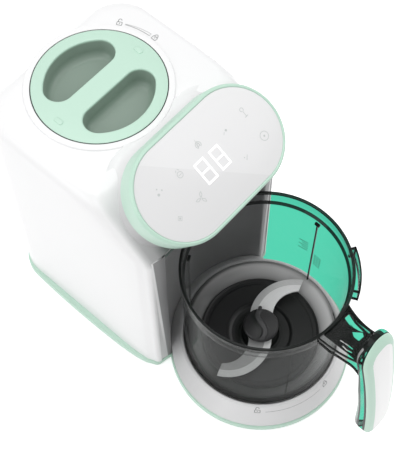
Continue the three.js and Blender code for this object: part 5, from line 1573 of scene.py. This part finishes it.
def make_stage():
    """Floor, pale world, soft lamps and the camera of the photograph."""
    bpy.context.scene.view_settings.view_transform = "Standard"
    make_ground()
    make_sky()
    make_lamps()
    make_camera()


# Operators


class FOODPROCESSOR_OT_tower(bpy.types.Operator):
    """Build the tower: shell, cover behind the bowl, tray and deck"""

    bl_idname = "food_processor.tower"
    bl_label = "Tower"

    def execute(self, context):
        make_housing()
        make_cover()
        make_tray()
        make_deck()
        return {"FINISHED"}


class FOODPROCESSOR_OT_panel(bpy.types.Operator):
    """Build the touch panel: neck, rim, glass and display"""

    bl_idname = "food_processor.panel"
    bl_label = "Touch panel"

    def execute(self, context):
        make_neck()
        make_bezel()
        make_glass()
        make_display()
        return {"FINISHED"}


class FOODPROCESSOR_OT_lid(bpy.types.Operator):
    """Build the tank lid with its finger recesses, and its collar"""

    bl_idname = "food_processor.lid"
    bl_label = "Tank lid"

    def execute(self, context):
        make_collar()
        make_lid()
        return {"FINISHED"}


class FOODPROCESSOR_OT_signs(bpy.types.Operator):
    """Print the open and shut signs on the tower and the deck"""

    bl_idname = "food_processor.signs"
    bl_label = "Signs"

    def execute(self, context):
        make_top_signs()
        make_deck_signs()
        return {"FINISHED"}


class FOODPROCESSOR_OT_bowl(bpy.types.Operator):
    """Build the clear bowl with its floor and measuring marks"""

    bl_idname = "food_processor.bowl"
    bl_label = "Bowl"

    def execute(self, context):
        make_jar()
        make_floor()
        make_scale()
        return {"FINISHED"}


class FOODPROCESSOR_OT_grip(bpy.types.Operator):
    """Build the frame and the cover of the grip"""

    bl_idname = "food_processor.grip"
    bl_label = "Grip"

    def execute(self, context):
        make_grip()
        return {"FINISHED"}


class FOODPROCESSOR_OT_blades(bpy.types.Operator):
    """Build the blade unit: two curved blades, hub and cap"""

    bl_idname = "food_processor.blades"
    bl_label = "Blades"

    def execute(self, context):
        make_blades()
        make_hub()
        return {"FINISHED"}


class FOODPROCESSOR_OT_inner(bpy.types.Operator):
    """Give the carried-over inner pieces their finishes"""

    bl_idname = "food_processor.inner"
    bl_label = "Inner pieces"

    def execute(self, context):
        dress_nodes()
        return {"FINISHED"}


class FOODPROCESSOR_OT_stage(bpy.types.Operator):
    """Set up the floor, the lights and the camera"""

    bl_idname = "food_processor.stage"
    bl_label = "Stage"

    def execute(self, context):
        make_stage()
        return {"FINISHED"}


class FOODPROCESSOR_PT_panel(bpy.types.Panel):
    """Lists the steps, sizes and colours"""

    bl_idname = "FOODPROCESSOR_PT_panel"
    bl_label = "Food processor"
    bl_space_type = "VIEW_3D"
    bl_region_type = "UI"
    bl_category = "Food processor"

    def draw(self, context):
        for operator in STEPS:
            self.layout.operator(operator.bl_idname)
        for group in (context.scene.food_processor_sizes, context.scene.food_processor_colours):
            for name in group.__annotations__:
                self.layout.prop(group, name)


STEPS = (FOODPROCESSOR_OT_stage, FOODPROCESSOR_OT_tower, FOODPROCESSOR_OT_panel, FOODPROCESSOR_OT_lid,
         FOODPROCESSOR_OT_signs, FOODPROCESSOR_OT_bowl, FOODPROCESSOR_OT_grip, FOODPROCESSOR_OT_blades,
         FOODPROCESSOR_OT_inner)
CLASSES = (FoodProcessorSizes, FoodProcessorColours, *STEPS, FOODPROCESSOR_PT_panel)


def register():
    for made in CLASSES:
        bpy.utils.register_class(made)
    bpy.types.Scene.food_processor_sizes = PointerProperty(type=FoodProcessorSizes)
    bpy.types.Scene.food_processor_colours = PointerProperty(type=FoodProcessorColours)


def unregister():
    del bpy.types.Scene.food_processor_sizes
    del bpy.types.Scene.food_processor_colours
    for made in reversed(CLASSES):
        bpy.utils.unregister_class(made)


def main():
    """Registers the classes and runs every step."""
    register()
    bpy.ops.food_processor.stage()
    bpy.ops.food_processor.tower()
    bpy.ops.food_processor.panel()
    bpy.ops.food_processor.lid()
    bpy.ops.food_processor.signs()
    bpy.ops.food_processor.bowl()
    bpy.ops.food_processor.grip()
    bpy.ops.food_processor.blades()
    bpy.ops.food_processor.inner()


if __name__ == "__main__":
    main()
